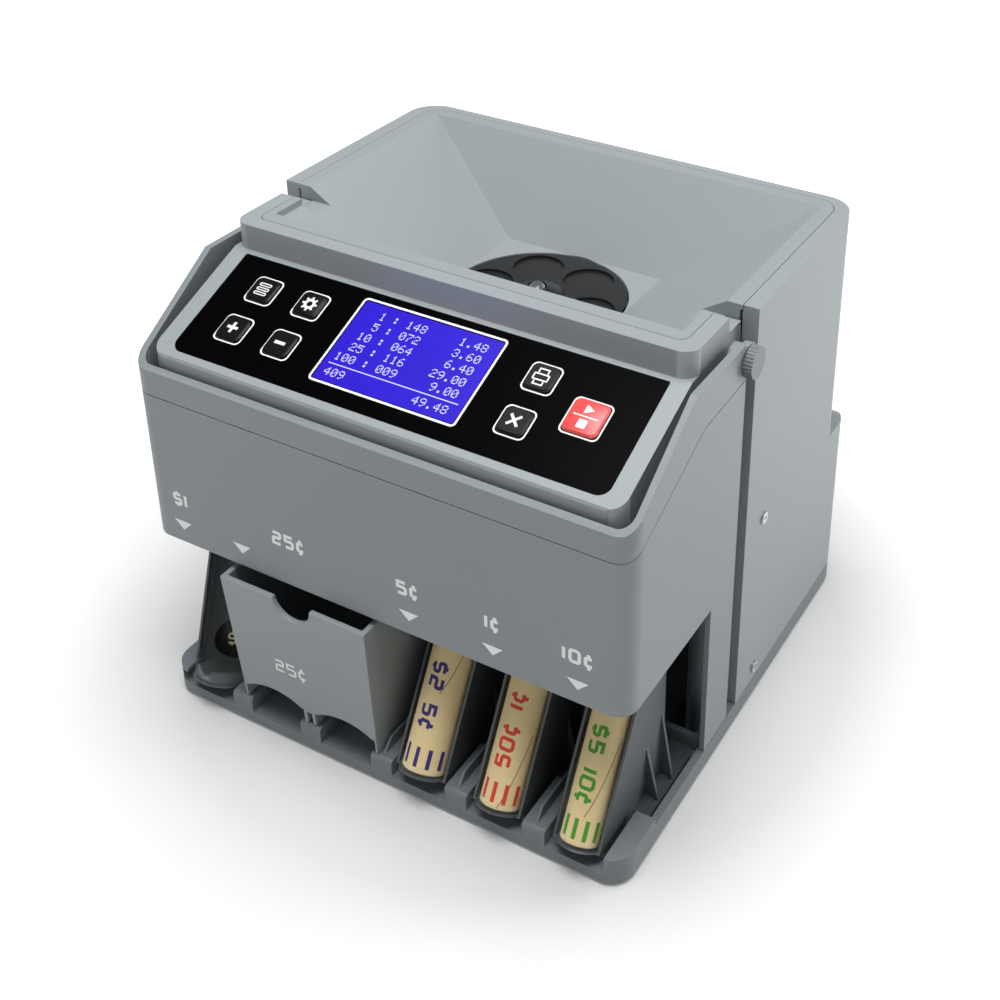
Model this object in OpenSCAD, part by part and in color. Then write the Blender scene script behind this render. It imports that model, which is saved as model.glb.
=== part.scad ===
// Desktop coin sorting machine with a hopper, a sloped control panel, a lift-up front cover
// and a row of coin tubes and a pull-out bin. Millimetres, +Z up, +X to the operator's right,
// -Y towards the operator. The origin is on the floor, under the middle of the machine.

/* [Body] */
// Width of the base and of the rear housing
body_w = 270; // [256:1:300]
// Height of the hopper rim above the floor
body_h = 248; // [240:1:262]
// Depth of the base, front edge to rear face
base_d = 264; // [258:1:280]
// How far the bin's top lip leans out past the base
bin_proud = 5; // [3:0.5:7]
// Thickness of the moulded housings
wall = 2.5; // [2:0.1:3]
// Corner radius of the base and the cover at the front
front_r = 12; // [9:1:16]
// Corner radius of the housing at the rear
rear_r = 17; // [10:1:22]
// Depth of the step at the lower back
back_step = 17; // [12:1:20]
// Height of the top of that step
back_step_h = 112; // [90:1:130]
// Depth from the base's front edge to the rear housing's front face
split_d = 121; // [120:1:123]
// Gap between fixed mouldings that meet at a seam
seam = 0.3; // [0.2:0.05:0.4]

/* [Base] */
// Height of the rubber feet
foot_h = 2; // [1.5:0.1:3]
// Diameter of the rubber feet
foot_d = 16; // [12:1:20]
// Height of the rim of the base
base_top = 12.5; // [12:0.1:14]
// Height of the floor that the tubes stand on
floor_z = 8; // [7:0.1:9]
// Thickness of the floor of the base
floor_t = 3; // [2:0.1:4]
// Width of the rim round the base
rim_w = 4; // [3:0.5:5]
// Distance from the base's side to the end of the row of bays
bay_margin = 4.2; // [3.8:0.1:4.8]
// Number of coin bays
bays = 6; // [6:1:6]
// Width of the slot in the base at each bay
slot_w = 31.2; // [31:0.1:33]
// Length of the blocks, front to back
block_l = 32; // [28:1:33]
// Height of the tops of the blocks
block_z = 17; // [16:0.2:18]
// Height of the thin fin on each block
fin_h = 6; // [4:0.2:6.6]
// Thickness of the fins
fin_t = 1.2; // [1:0.1:1.6]

/* [Head and panel] */
// Distance from the housing's side in to the head's side
head_in = 8.5; // [8:0.1:9.5]
// Depth of the head below the hopper's rim
head_depth = 72; // [70:0.5:73]
// Depth from the base's front edge to the head's fascia
fascia_d = 71; // [68:1:76]
// Slope of the control panel
panel_tilt = 23; // [20:0.5:25]
// Drop from the hopper's rim to the panel's upper edge
panel_drop = 14.2; // [12:0.2:16]
// Length of the panel frame along its slope
panel_l = 68; // [66:0.5:69]
// Distance from the head's side in to the black overlay
overlay_in = 9.2; // [8:0.1:11]
// Length of the overlay along the slope
overlay_l = 61.5; // [58:0.5:63]
// Thickness of the overlay
overlay_t = 0.8; // [0.5:0.1:1.2]
// Side of a small key
key_s = 13.8; // [12:0.2:15]
// Side of the large key
big_key_s = 17.4; // [16:0.2:18.5]
// Height that a key stands above the overlay
key_up = 1.6; // [1.2:0.1:2.2]
// Travel of a key
key_travel = 0.9; // [0.5:0.1:1]
// Gap round a key
key_gap = 0.35; // [0.3:0.05:0.5]
// Distance from the middle to the outer keys at the left
key_x = 93.6; // [92:0.1:95]
// Distance between the two columns of keys at the left
key_step = 28.2; // [26:0.2:29]
// Distance from the middle to the column of small keys at the right
key_right_x = 62.4; // [61:0.2:64]
// Distance from the middle to the large key
start_x = 91.3; // [90:0.1:93]
// Distance of the upper row of keys from the overlay's top
key_row = 17.3; // [16:0.1:18]
// Distance between the two rows of keys
key_drop = 24.4; // [23:0.1:25]
// Distance from the middle to the display's left edge
lcd_left = 40.5; // [39:0.5:42]
// Width of the display window
lcd_w = 77; // [70:1:84]
// Length of the display window along the slope
lcd_l = 47; // [42:1:50]
// Depth of the saddle between the head and the rear rim
saddle = 7.8; // [5:0.2:10]
// Length of the saddle from the head's rim to the split
saddle_l = 13.5; // [12:0.5:15]

/* [Hopper] */
// Distance from the housing's side to the hopper's seam
seam_in = 8; // [7:0.5:10]
// Width of the hopper's flat rim
lip_w = 8; // [6:0.5:10]
// Width of that rim in the head, at the sides
head_lip = 5; // [3:0.5:7]
// Slope of the hopper's side walls
side_slope = 32; // [30:1:36]
// Slope of the hopper's rear wall
rear_slope = 50; // [48:1:60]
// Depth of the hopper, rim to feed disc
hopper_depth = 45; // [43:0.5:47]
// Radius of the feed disc
disc_r = 46; // [42:1:48]
// Thickness of the feed disc
disc_t = 3; // [2.5:0.1:4]

/* [Front cover] */
// Setback of the cover's face from the base's front edge
cover_back = 2.1; // [1.5:0.1:4]
// Height of the cover's lower edge
cover_low = 103; // [101:1:106]
// Drop from the rim to the seam between band and skirt, at the front
seam_front_drop = 62; // [59:0.5:65]
// Drop from the rim to that seam, at the sides
seam_side_drop = 31; // [29:0.5:33]
// Drop from the rim to the band's top, at the front
band_front_drop = 48; // [46:0.5:50]
// Drop from the rim to the band's top, at the sides
band_side_drop = 11; // [10:0.5:13]
// Thickness of the band's walls
band_t = 3.6; // [3:0.1:4]
// Width of the cover's rear legs
leg_w = 26; // [20:1:30]
// Gap between the leg and the rear housing
leg_gap = 11; // [9:0.5:13]
// Drop from the rim to the pivots
pivot_drop = 22; // [21:0.5:23]
// Distance from the split to the pivots
pivot_back = 9; // [8.6:0.2:10]
// Radius of the pivot screw's shoulder
pivot_r = 4; // [3:0.1:5]
// Radius of the pivot screw's knurled head
knob_r = 7.9; // [7:0.1:9]
// Thickness of the knurled head
knob_t = 4.5; // [3:0.5:6]
// Radial clearance of a shaft in its hole
fit = 0.06; // [0.02:0.01:0.1]

/* [Coin tubes] */
// Lean of the tubes from upright
lean = 30; // [28:1:32]
// Lean of the dollar channel from upright
dollar_lean = 18; // [16:0.5:20]
// Setback of the dollar channel from the other tubes
dollar_back = 6.5; // [6:0.5:8]
// Thickness of the tube walls
tube_t = 1.5; // [1.3:0.1:1.8]
// Length of a tube's channel
tube_l = 114; // [106:1:116]
// Length by which the dollar channel is shorter
dollar_short = 14; // [13:1:18]
// Thickness of a clear sleeve's wall
sleeve_t = 1; // [0.8:0.1:1.2]
// Length by which a clear sleeve is shorter than its channel
sleeve_short = 10; // [6:1:14]
// Thickness of the tubes' foot plates
plate_t = 2.4; // [2:0.1:3]
// Length of the foot plates
plate_l = 52.8; // [48:0.2:53.4]
// Gap between loose parts and what they stand on
loose = 0.3; // [0.2:0.05:0.4]
// Thickness of a wrapper's paper
paper_t = 0.5; // [0.4:0.1:0.8]
// Length by which a wrapper is shorter than its sleeve
wrapper_short = 12; // [8:1:16]

/* [Coin bin] */
// Thickness of the bin's walls
bin_t = 2.8; // [2.2:0.1:3.4]
// Distance of the bin's top below the cover's lower edge
bin_drop = 5; // [4:0.5:8]
// Depth of the bin at its foot
bin_d = 84; // [76:1:88]
// Height of the bin's legs
bin_leg = 8.6; // [7:0.2:10]
// Radius of the finger notch
notch_r = 11; // [8:0.5:14]

/* [Drive] */
// Radius of the disc spindle
spindle_r = 4; // [3:0.1:5]
// Radius of the large pulley
big_pulley_r = 30; // [26:1:34]
// Radius of the motor pulley
small_pulley_r = 9; // [7:0.5:11]
// Radius of the motor
motor_r = 19; // [16:1:21]
// Length of the motor
motor_l = 48; // [40:1:54]
// Radius of the transport rollers
roller_r = 7; // [6:0.5:8]
// Distance of the rollers from the chassis sides
roller_in = 21.7; // [20:0.5:24]
// Height of the sorting track above the cover's lower edge
track_up = 55; // [54:0.5:57]
// Height of the chutes under the track
chute_h = 23.2; // [22:0.2:24]
// Width of the hoop-shaped feet of the chassis sides
flange_w = 12; // [10:0.5:14]

/* [Rear] */
// Distance of the mains inlet's opening from the side
inlet_in = 43; // [40:0.5:46]
// Width of the mains inlet's opening
inlet_w = 27.6; // [27:0.1:28.4]
// Height of both rear openings
inlet_h = 20.4; // [20:0.1:21]
// Height of the lower edge of both rear openings
inlet_z = 36; // [34:0.5:40]
// Width of the switch's opening
switch_w = 13.6; // [13:0.1:14]
// Distance from the inlet's opening to the switch's
switch_gap = 10.4; // [9:0.2:12]
// Distance from one cooling slot to the next
vent_pitch = 7; // [6:0.2:8]
// Height of the cooling slots
vent_h = 34; // [28:1:40]
// Length of the power supply
psu_w = 90; // [80:1:92]

/* [Hidden] */
$fn = 48;
eps = 0.01;
half_w = body_w/2;
pitch = (body_w - 2*bay_margin)/bays;
block_w = pitch - slot_w;
head_hw = half_w - head_in;
overlay_hw = head_hw - overlay_in;
depth = base_d + bin_proud;
front_y = -depth/2 + bin_proud;
back_y = depth/2;
split_y = front_y + split_d;
upper_back_y = back_y - back_step;
house_z = base_top + seam;
rim_top = body_h;
panel_z = rim_top - panel_drop;
disc_z = rim_top - hopper_depth;
seam_front = rim_top - seam_front_drop;
seam_side = rim_top - seam_side_drop;
band_front = rim_top - band_front_drop;
band_side = rim_top - band_side_drop;
pivot_z = rim_top - pivot_drop;
rear_in = 5;
fascia_y = front_y + fascia_d;
rim_end_y = split_y - saddle_l;
saddle_z = rim_top - saddle;
cover_y = front_y + cover_back;
panel_y = fascia_y - 0.6;
lip_y = panel_y - panel_l*cos(panel_tilt);
lip_z = panel_z - panel_l*sin(panel_tilt);
head_low = rim_top - head_depth;
head_t = wall;
overlay_s = 2;
lcd_x = -lcd_left;
lcd_y = -overlay_s - 5.1 - lcd_l;
board_n = -8;
board_t = 1.6;
switch_h = 1.9;
post_r = 2;
overlay_r = 6;
pivot_y = split_y - pivot_back;
leg_back_y = split_y - leg_gap;
leg_front_y = leg_back_y - leg_w;
skirt_t = wall + 0.3;
leg_z = house_z + 0.2;
arm_r = pivot_back - 0.4;
kink_y = fascia_y - 12;
seam_kink_y = fascia_y - 3;
cover_r = front_r - 2;
bin_top = cover_low - bin_drop;
sleeve_l = tube_l - sleeve_short;
wrapper_l = sleeve_l - wrapper_short;
well_front = front_y + block_l + 1;
sill_y = well_front + plate_l + 0.7;
sill_t = 3;
key_r = 3;
dime_d = 17.9;
penny_d = 19.05;
nickel_d = 21.2;
quarter_d = 24.3;
dollar_d = 26.5;
// Feed disc and drive
disc_y = 20;
disc_low = disc_z - disc_t;
plate_z = disc_low - 3.4;
shelf_t = 3;
pulley_z = plate_z - 21;
pulley_t = 6;
motor_y = disc_y + 58;
belt_t = 1.6;
shelf_z = plate_z - shelf_t;
works_back = upper_back_y - wall - 8;
// Sorting track
track_y0 = front_y + 39;
track_y1 = track_y0 + 46;
chassis_y0 = sill_y + sill_t;
track_z = cover_low + track_up;
track_t = 2.5;
chute_top = track_z - track_t - seam;
chute_low = chute_top - chute_h;
roller_y = (track_y0 + track_y1)/2;
roller_z = track_z + 3.2 + roller_r;
plate_w = 2;
chassis_x = head_hw - head_t - seam - plate_w;
roller_x = chassis_x - roller_in;
axle_r = 2.5;
inlet_x = inlet_in - half_w;
switch_x = inlet_x + inlet_w + switch_gap;
motor_low = pulley_z - 4.5 - motor_l;
screw_d = 6;

keys = [
    [-key_x, key_row, key_s],
    [key_step - key_x, key_row, key_s],
    [-key_x, key_row + key_drop, key_s],
    [key_step - key_x, key_row + key_drop, key_s],
    [key_right_x, key_row, key_s],
    [key_right_x, key_row + key_drop, key_s],
    [start_x, key_row + key_drop/2, big_key_s]
];

// Plan shapes with true arcs at the corners
module rounded(x0, x1, y0, y1, r) {
    translate([x0 + r, y0]) square([x1 - x0 - 2*r, y1 - y0]);
    translate([x0, y0 + r]) square([x1 - x0, y1 - y0 - 2*r]);
    for (x = [x0 + r, x1 - r], y = [y0 + r, y1 - r]) translate([x, y]) circle(r);
}

// Plan with its two front corners rounded
module front_rounded(hw, y0, y1, r) {
    translate([-hw, y0 + r]) square([2*hw, y1 - y0 - r]);
    translate([r - hw, y0]) square([2*(hw - r), r + eps]);
    for (side = [-1, 1]) translate([side*(hw - r), y0 + r]) circle(r);
}

// Plan with its two rear corners rounded
module rear_rounded(hw, y0, y1, r) {
    mirror([0, 1, 0]) front_rounded(hw, -y1, -y0, r);
}

// A profile in Y and Z, drawn along X from x0 over the width w
module along_x(x0, w) {
    translate([x0, 0, 0]) rotate([90, 0, 90]) linear_extrude(height = w) children();
}

// A profile in X and Z, drawn along Y from y0 over the depth d
module along_y(y0, d) {
    translate([0, y0 + d, 0]) rotate([90, 0, 0]) linear_extrude(height = d) children();
}

module block(x0, x1, y0, y1, z0, z1) {
    translate([x0, y0, z0]) cube([x1 - x0, y1 - y0, z1 - z0]);
}

// The panel's own frame: X across, -Y down the slope, Z out of the panel
module on_panel() {
    translate([0, panel_y, panel_z]) rotate([panel_tilt, 0, 0]) children();
}

// A rod along X
module rod_x(x0, x1, y, z, r, n = 48) {
    translate([x0, y, z]) rotate([0, 90, 0]) cylinder(r = r, h = x1 - x0, $fn = n);
}

// A rod along X on the side given as 1 or -1
module side_rod(side, x0, x1, y, z, r, n = 48) {
    rod_x(min(side*x0, side*x1), max(side*x0, side*x1), y, z, r, n);
}

function bay_x(i) = (i - (bays - 1)/2)*pitch;

// ---------------------------------------------------------------- base

module base_tray() {
    color("#7b8184") difference() {
        union() {
            translate([0, 0, foot_h]) linear_extrude(height = base_top - foot_h)
                base_plan(0);
            for (i = [1 : bays - 1])
                bay_block(bay_x(i) - pitch/2 - block_w/2, block_w);
            for (i = [1 : bays - 1])
                along_x(bay_x(i) - pitch/2 - fin_t/2, fin_t) polygon([
                    [front_y + 2.5, block_z - 1], [front_y + 2.5 + fin_h, block_z + fin_h],
                    [front_y + block_l, block_z + fin_h], [front_y + block_l, block_z - 1]]);
            intersection() {
                union() {
                    bay_block(-half_w, half_w + bay_x(0) - slot_w/2);
                    bay_block(bay_x(bays - 1) + slot_w/2, half_w - bay_x(bays - 1) - slot_w/2);
                }
                translate([0, 0, floor_z - eps]) linear_extrude(height = block_z) base_plan(0);
            }
            block(-half_w + rim_w, half_w - rim_w, sill_y, sill_y + sill_t, floor_z - eps, block_z);
        }
        // bays, open at the front
        for (i = [0 : bays - 1])
            block(bay_x(i) - slot_w/2, bay_x(i) + slot_w/2, front_y - 1, front_y + block_l + 1,
                floor_z, block_z + 1);
        // hollow under the lip at the left corner
        block(rim_w - 1 - half_w, bay_x(0), front_y - 1, front_y + block_l + 1, floor_z, block_z - 2.4);
        // well for the foot plates
        block(-half_w + rim_w, half_w - rim_w, front_y + block_l, sill_y, floor_z, block_z + 1);
        // rear well for the works
        translate([0, 0, floor_z]) linear_extrude(height = block_z)
            rear_rounded(half_w - rim_w, sill_y + sill_t, back_y - rim_w, rear_r - rim_w);
        // hollow underside
        translate([0, 0, foot_h - 1]) linear_extrude(height = floor_z - floor_t - foot_h + 1)
            base_plan(wall);
        for (x = foot_x(), y = foot_y())
            translate([x, y, foot_h - 1]) cylinder(d = screw_d, h = base_top);
    }
    color("#7b8184") for (x = foot_x(), y = foot_y())
        translate([x, y, foot_h + 1.5]) difference() {
            cylinder(d = foot_d - 4, h = floor_z - floor_t - foot_h - 1.5 + eps);
            translate([0, 0, -1]) cylinder(d = screw_d, h = base_top);
        }
}

function foot_x() = [-half_w + foot_d + 6, half_w - foot_d - 6];
function foot_y() = [front_y + foot_d + 6, back_y - foot_d - 8];

module base_plan(inset) {
    hw = half_w - inset;
    mid = (front_y + back_y)/2;
    front_rounded(hw, front_y + inset, mid + eps, front_r - inset);
    rear_rounded(hw, mid - eps, back_y - inset, rear_r - inset);
}

// A block between two bays, with a front edge that is rounded at the top
module bay_block(x, w) {
    r = 2;
    along_x(x, w) union() {
        translate([front_y, floor_z - eps]) square([block_l, block_z - r - floor_z + eps]);
        translate([front_y + r, floor_z]) square([block_l - r, block_z - floor_z]);
        translate([front_y + r, block_z - r]) circle(r);
    }
}

module rubber_feet() {
    plug_h = floor_z - floor_t - foot_h;
    color("#1d1e1f") for (x = foot_x(), y = foot_y()) translate([x, y, 0]) {
        rotate_extrude() polygon([[0, 0], [foot_d/2 - 1, 0], [foot_d/2, 1],
            [foot_d/2, foot_h + 1.5 - 0.1], [0, foot_h + 1.5 - 0.1]]);
        cylinder(d = screw_d - 0.4, h = foot_h + plug_h);
    }
}

// ---------------------------------------------------------------- housings

// Outer form of the rear housing; inset thins it for the cavity
module rear_form(inset, z0, z1) {
    r = rear_r - inset;
    shoulder = 9 - inset;
    step_top = back_step_h - inset;
    translate([0, 0, z0]) linear_extrude(height = z1 - z0)
        rear_rounded(half_w - inset, split_y + inset, upper_back_y - inset, r);
    intersection() {
        translate([0, 0, z0]) linear_extrude(height = step_top - z0)
            rear_rounded(half_w - inset, split_y + inset, back_y - inset, r);
        along_x(-half_w, 2*half_w) union() {
            translate([split_y, z0]) square([back_y - inset - shoulder - split_y, step_top - z0]);
            translate([split_y, z0]) square([back_y - inset - split_y, step_top - shoulder - z0]);
            translate([back_y - inset - shoulder, step_top - shoulder]) circle(shoulder);
        }
    }
}

module rear_housing() {
    vents = 10;
    vent_x = half_w - rear_r - 14.5 - (vents - 1)*vent_pitch;
    color("#a0a5a3") difference() {
        rear_form(0, house_z, rim_top);
        rear_form(wall, house_z - 1, rim_top - wall);
        // mouth for the hopper, and the open throat below the head
        hopper_seat(0, rim_top - wall - 1, rim_top + 1);
        block(-head_hw - seam, head_hw + seam, split_y - 1, split_y + wall + 1,
            house_z - 1, rim_top + 1);
        // cooling slots in the lower back
        for (i = [0 : vents - 1])
            along_y(back_y - 4*wall, 5*wall) translate([vent_x + vent_pitch*i - 1.5, inlet_z + 4]) {
                square([3, vent_h]);
                translate([1.5, 0]) circle(1.5);
                translate([1.5, vent_h]) circle(1.5);
            }
        // inlet and switch openings
        block(inlet_x, inlet_x + inlet_w, back_y - wall - 1, back_y + 1, inlet_z, inlet_z + inlet_h);
        block(switch_x, switch_x + switch_w, back_y - wall - 1, back_y + 1, inlet_z, inlet_z + inlet_h);
        for (z = side_screw_z(), side = [-1, 1])
            rod_x(side*half_w - 4, side*half_w + 4, screw_y(), z, 2);
    }
}

function side_screw_z() = [21, 118];
function screw_y() = split_y + 21.5;

// Room that the hopper's rim takes in the two housings, shrunk by gap
module hopper_seat(gap, z0, z1) {
    translate([0, 0, z0]) linear_extrude(height = z1 - z0) union() {
        rear_rounded(half_w - seam_in - gap, split_y - 1, upper_back_y - rear_in - gap,
            rear_r - rear_in);
        front_rounded(head_hw - seam_in - gap, fascia_y + seam_in + 0.4 + gap, split_y,
            5);
    }
}

// Half profile of the head in Y and Z, with the sloped panel in front
module head_profile(inset) {
    t = inset;
    c = cos(panel_tilt);
    s = sin(panel_tilt);
    polygon([
        [split_y - seam, head_low + t], [split_y - seam, saddle_z - t],
        [rim_end_y - (t > 0 ? t : 0), saddle_z - t],
        [rim_end_y - (t > 0 ? t : 0), rim_top - t],
        [fascia_y + t, rim_top - t],
        [fascia_y + t, panel_z + 0.6 - t/c + t*s/c],
        [lip_y + t + 0.6, lip_z - t/c + t*s/c],
        [lip_y + t, lip_z - t - 1.4], [lip_y + t, head_low + t]]);
}

module head_housing() {
    inner_hw = head_hw - head_t;
    color("#9aa0a3") difference() {
        intersection() {
            along_x(-head_hw, 2*head_hw) head_profile(0);
            union() {
                translate([0, 0, head_low - 1]) linear_extrude(height = head_depth + 2)
                    front_rounded(head_hw, fascia_y, split_y, 8);
                translate([0, 0, head_low]) linear_extrude(height = panel_z + 0.6 - head_low)
                    front_rounded(head_hw, lip_y, split_y, 8);
            }
        }
        intersection() {
            along_x(-inner_hw, 2*inner_hw) head_profile(head_t);
            translate([0, 0, head_low - 1]) linear_extrude(height = head_depth + 2)
                front_rounded(inner_hw, lip_y + head_t, split_y, 8 - head_t);
        }
        // open below and behind
        block(-inner_hw, inner_hw, lip_y + head_t + 8, split_y + 1, head_low - 1, head_low + head_t + 1);
        block(-inner_hw, inner_hw, split_y - 3*head_t, split_y + 1, head_low - 1, saddle_z - head_t);
        hopper_seat(0, saddle_z - head_t - 1, rim_top + 1);
        // recess, key holes and display opening in the panel
        on_panel() {
            translate([0, 0, -overlay_t]) linear_extrude(height = 2)
                overlay_plan(0.2);
            translate([0, 0, board_n]) linear_extrude(height = 12) {
                for (k = keys) key_plan(k, 2*key_gap);
                lcd_plan(0);
            }
        }
        // pivot holes
        for (side = [-1, 1])
            rod_x(side*head_hw - 6, side*head_hw + 6, pivot_y, pivot_z, pivot_r + fit);
        // screw holes for the chassis
        for (side = [-1, 1], y = chassis_screw_y())
            rod_x(side*head_hw - 5, side*head_hw + 5, y, head_low + 8, 1.6);
    }
    // posts that carry the boards behind the panel
    color("#9aa0a3") on_panel() for (x = board_x(), y = [board_y0() + 4, board_y0() + lcd_l - 4],
        k = [4, -4])
            translate([k > 0 ? x[0] + k : x[1] + k, y, board_n + board_t])
                cylinder(r = post_r, h = -head_t - board_n - board_t + 0.5);
    // bosses that hold the cover's arms off the head
    color("#9aa0a3") for (side = [-1, 1]) difference() {
        side_rod(side, head_hw - eps, boss_x(), pivot_y, pivot_z, pivot_r + 3);
        rod_x(-half_w, half_w, pivot_y, pivot_z, pivot_r + fit);
    }
}

function boss_x() = half_w - band_t - 0.3;
function chassis_screw_y() = [fascia_y - 20, split_y - 14];

module hopper_funnel() {
    top_hw = half_w - seam_in - lip_w;
    top_back = upper_back_y - rear_in - lip_w;
    top_front = fascia_y + seam_in + lip_w + 0.4;
    drop = rim_top - disc_z;
    head_seam = head_hw - seam_in - seam;
    head_edge = head_hw - seam_in - head_lip;
    ledge = 3;
    color("#9aa3a6") difference() {
        union() {
            funnel_form(wall, top_hw, top_front, top_back, drop);
            hopper_seat(seam, rim_top - wall, rim_top);
            hopper_seat(seam + 1.2, rim_top - 2*wall - 1, rim_top - wall + eps);
            // ring that carries the disc's well on the shelf
            translate([0, disc_y, plate_z])
                cylinder(r = disc_r + 7, h = disc_z - plate_z + 2, $fn = 96);
            // floors of the two saddles, and the faces behind them
            for (side = [-1, 1]) {
                mirrored_block(side, head_edge - 14, head_seam, rim_end_y - ledge,
                    split_y - seam + ledge, saddle_z - ledge, saddle_z + eps);
                mirrored_block(side, head_edge - 14, half_w - seam_in - seam - 1.2, split_y - seam,
                    split_y - seam + ledge, saddle_z - ledge, rim_top - wall);
                mirrored_block(side, head_edge, head_seam, fascia_y + seam_in + 4, rim_end_y,
                    saddle_z - ledge, rim_top);
            }
        }
        difference() {
            funnel_form(0, top_hw, top_front, top_back, drop);
            for (side = [-1, 1])
                mirrored_block(side, head_edge, half_w, fascia_y, rim_end_y + eps, disc_z, rim_top + 2);
        }
        translate([0, disc_y, plate_z - 1]) cylinder(r = disc_r + 1.2, h = 20, $fn = 96);
        for (side = [-1, 1]) {
            mirrored_block(side, head_edge - 20, half_w + 1, rim_end_y, split_y - seam, saddle_z,
                rim_top + 1);
            mirrored_block(side, head_seam, half_w + 1, fascia_y, split_y - seam,
                saddle_z - 2*ledge, rim_top + 1);
        }
    }
}

// A block between x0 and x1 on the side given as 1 or -1
module mirrored_block(side, x0, x1, y0, y1, z0, z1) {
    block(min(side*x0, side*x1), max(side*x0, side*x1), y0, y1, z0, z1);
}

// The hopper's hollow, grown by t for its outside
module funnel_form(t, hw, y0, y1, drop) {
    z1 = rim_top + (t > 0 ? 0 : 1);
    up = z1 - rim_top;
    side_run = drop/tan(side_slope);
    rear_run = drop/tan(rear_slope);
    front_run = drop/tan(75);
    z0 = disc_z - (t > 0 ? 2 : 0);
    down = disc_z - z0;
    intersection() {
        along_y(y0 - 20, y1 - y0 + 40) polygon([
            [-hw - t - up/tan(side_slope), z1], [hw + t + up/tan(side_slope), z1],
            [hw + t - side_run - down/tan(side_slope), z0],
            [-hw - t + side_run + down/tan(side_slope), z0]]);
        along_x(-half_w, 2*half_w) polygon([
            [y0 - t - up/tan(75), z1], [y1 + t + up/tan(rear_slope), z1],
            [y1 + t - rear_run - down/tan(rear_slope), z0],
            [y0 - t + front_run + down/tan(75), z0]]);
    }
}

// ---------------------------------------------------------------- panel

module panel_overlay() {
    color("#0a0a0b") on_panel() translate([0, 0, -overlay_t]) linear_extrude(height = overlay_t)
        difference() {
            overlay_plan(0);
            for (k = keys)
                key_plan(k, key_gap);
            lcd_plan(0);
        }
}

module lcd_window() {
    color("#3a1cff") on_panel() translate([0, 0, -head_t + 0.3])
        linear_extrude(height = head_t - 0.4) lcd_plan(-0.2);
}

// Plan of the overlay, round at its lower corners
module overlay_plan(gap) {
    rounded(-overlay_hw - gap, overlay_hw + gap, -overlay_s - overlay_l - gap, gap - overlay_s,
        overlay_r);
    rounded(-overlay_hw - gap, overlay_hw + gap, -overlay_s - overlay_l/2, gap - overlay_s, 1);
}

// Plan of a key, grown by gap, and of the display
module key_plan(k, gap) {
    h = k[2]/2 + gap;
    translate([k[0], -overlay_s - k[1]]) rounded(-h, h, -h, h, key_r);
}

module lcd_plan(gap) {
    rounded(lcd_x - gap, lcd_x + lcd_w + gap, lcd_y - gap, lcd_y + lcd_l + gap, 1);
}

module lcd_module() {
    color("#2c6b45") on_panel() {
        translate([lcd_x - 6, lcd_y - 5, board_n]) linear_extrude(height = board_t)
            square([lcd_w + 12, lcd_l + 10]);
        translate([lcd_x + 2, lcd_y + 2, board_n + board_t - eps])
            linear_extrude(height = -head_t - board_n - board_t + eps) square([lcd_w - 4, lcd_l - 4]);
    }
}

// Boards that carry the key switches, one under each group of keys
module key_board() {
    color("#2c6b45") on_panel() for (x = board_x())
        translate([x[0], board_y0(), board_n]) linear_extrude(height = board_t)
            square([x[1] - x[0], lcd_l]);
    color("#303236") on_panel() for (k = keys)
        translate([k[0] - 3, -overlay_s - k[1] - 3, board_n + board_t - eps])
            cube([6, 6, switch_h + eps]);
}

function board_x() = [[-112, -50], [46, 108]];
function board_y0() = lcd_y;

// A key cap with a stepped crown and a stem down to its switch
module key_cap(k) {
    crown = 0.5;
    skirt = 2;
    stem_n = board_n + board_t + switch_h + key_travel + 0.3;
    on_panel() {
        translate([0, 0, -skirt]) linear_extrude(height = skirt + key_up - crown) key_plan(k, 0);
        translate([0, 0, key_up - crown - eps]) linear_extrude(height = crown + eps)
            key_plan(k, -crown);
        translate([k[0], -overlay_s - k[1], stem_n]) cylinder(d = 5, h = -skirt - stem_n + eps);
    }
}

module key_batch() { color("#1c1c1e") key_cap(keys[0]); }
module key_set() { color("#1c1c1e") key_cap(keys[1]); }
module key_plus() { color("#1c1c1e") key_cap(keys[2]); }
module key_minus() { color("#1c1c1e") key_cap(keys[3]); }
module key_print() { color("#1c1c1e") key_cap(keys[4]); }
module key_clear() { color("#1c1c1e") key_cap(keys[5]); }
module key_start() { color("#f26464") key_cap(keys[6]); }

// ---------------------------------------------------------------- front cover

// Side profile of the cover's upper moulding, the band that runs up to the pivots
module band_profile() {
    polygon([
        [cover_y - 1, seam_front], [cover_y - 1, band_front], [cover_y + 2, band_front],
        [kink_y, band_side], [pivot_y - 5, band_side], [leg_back_y, band_side - 3],
        [leg_back_y, seam_side],
        [seam_kink_y, seam_side - 1.4], [cover_y + 2, seam_front]]);
}

// Side profile of the lower moulding with its rear leg
module skirt_profile() {
    polygon([
        [cover_y - 1, cover_low], [cover_y - 1, seam_front - seam],
        [cover_y + 2, seam_front - seam], [seam_kink_y, seam_side - 1.4 - seam],
        [leg_back_y, seam_side - seam], [leg_back_y, leg_z], [leg_front_y, leg_z],
        [leg_front_y, cover_low]]);
}

module cover_shell(t, low) {
    intersection() {
        translate([0, 0, foot_h]) linear_extrude(height = rim_top) difference() {
            front_rounded(half_w, cover_y, leg_back_y, cover_r);
            front_rounded(half_w - t, cover_y + t, leg_back_y + 1, cover_r - t);
        }
        along_x(-half_w, 2*half_w) {
            if (low) skirt_profile();
            else band_profile();
        }
    }
}

module cover_band() {
    color("#8f9598") difference() {
        union() {
            cover_shell(band_t, false);
            // round ends of the arms at the pivots
            for (side = [-1, 1])
                side_rod(side, half_w - band_t, half_w, pivot_y, pivot_z, arm_r);
        }
        rod_x(-half_w - 1, half_w + 1, pivot_y, pivot_z, pivot_r + fit);
    }
}

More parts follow.
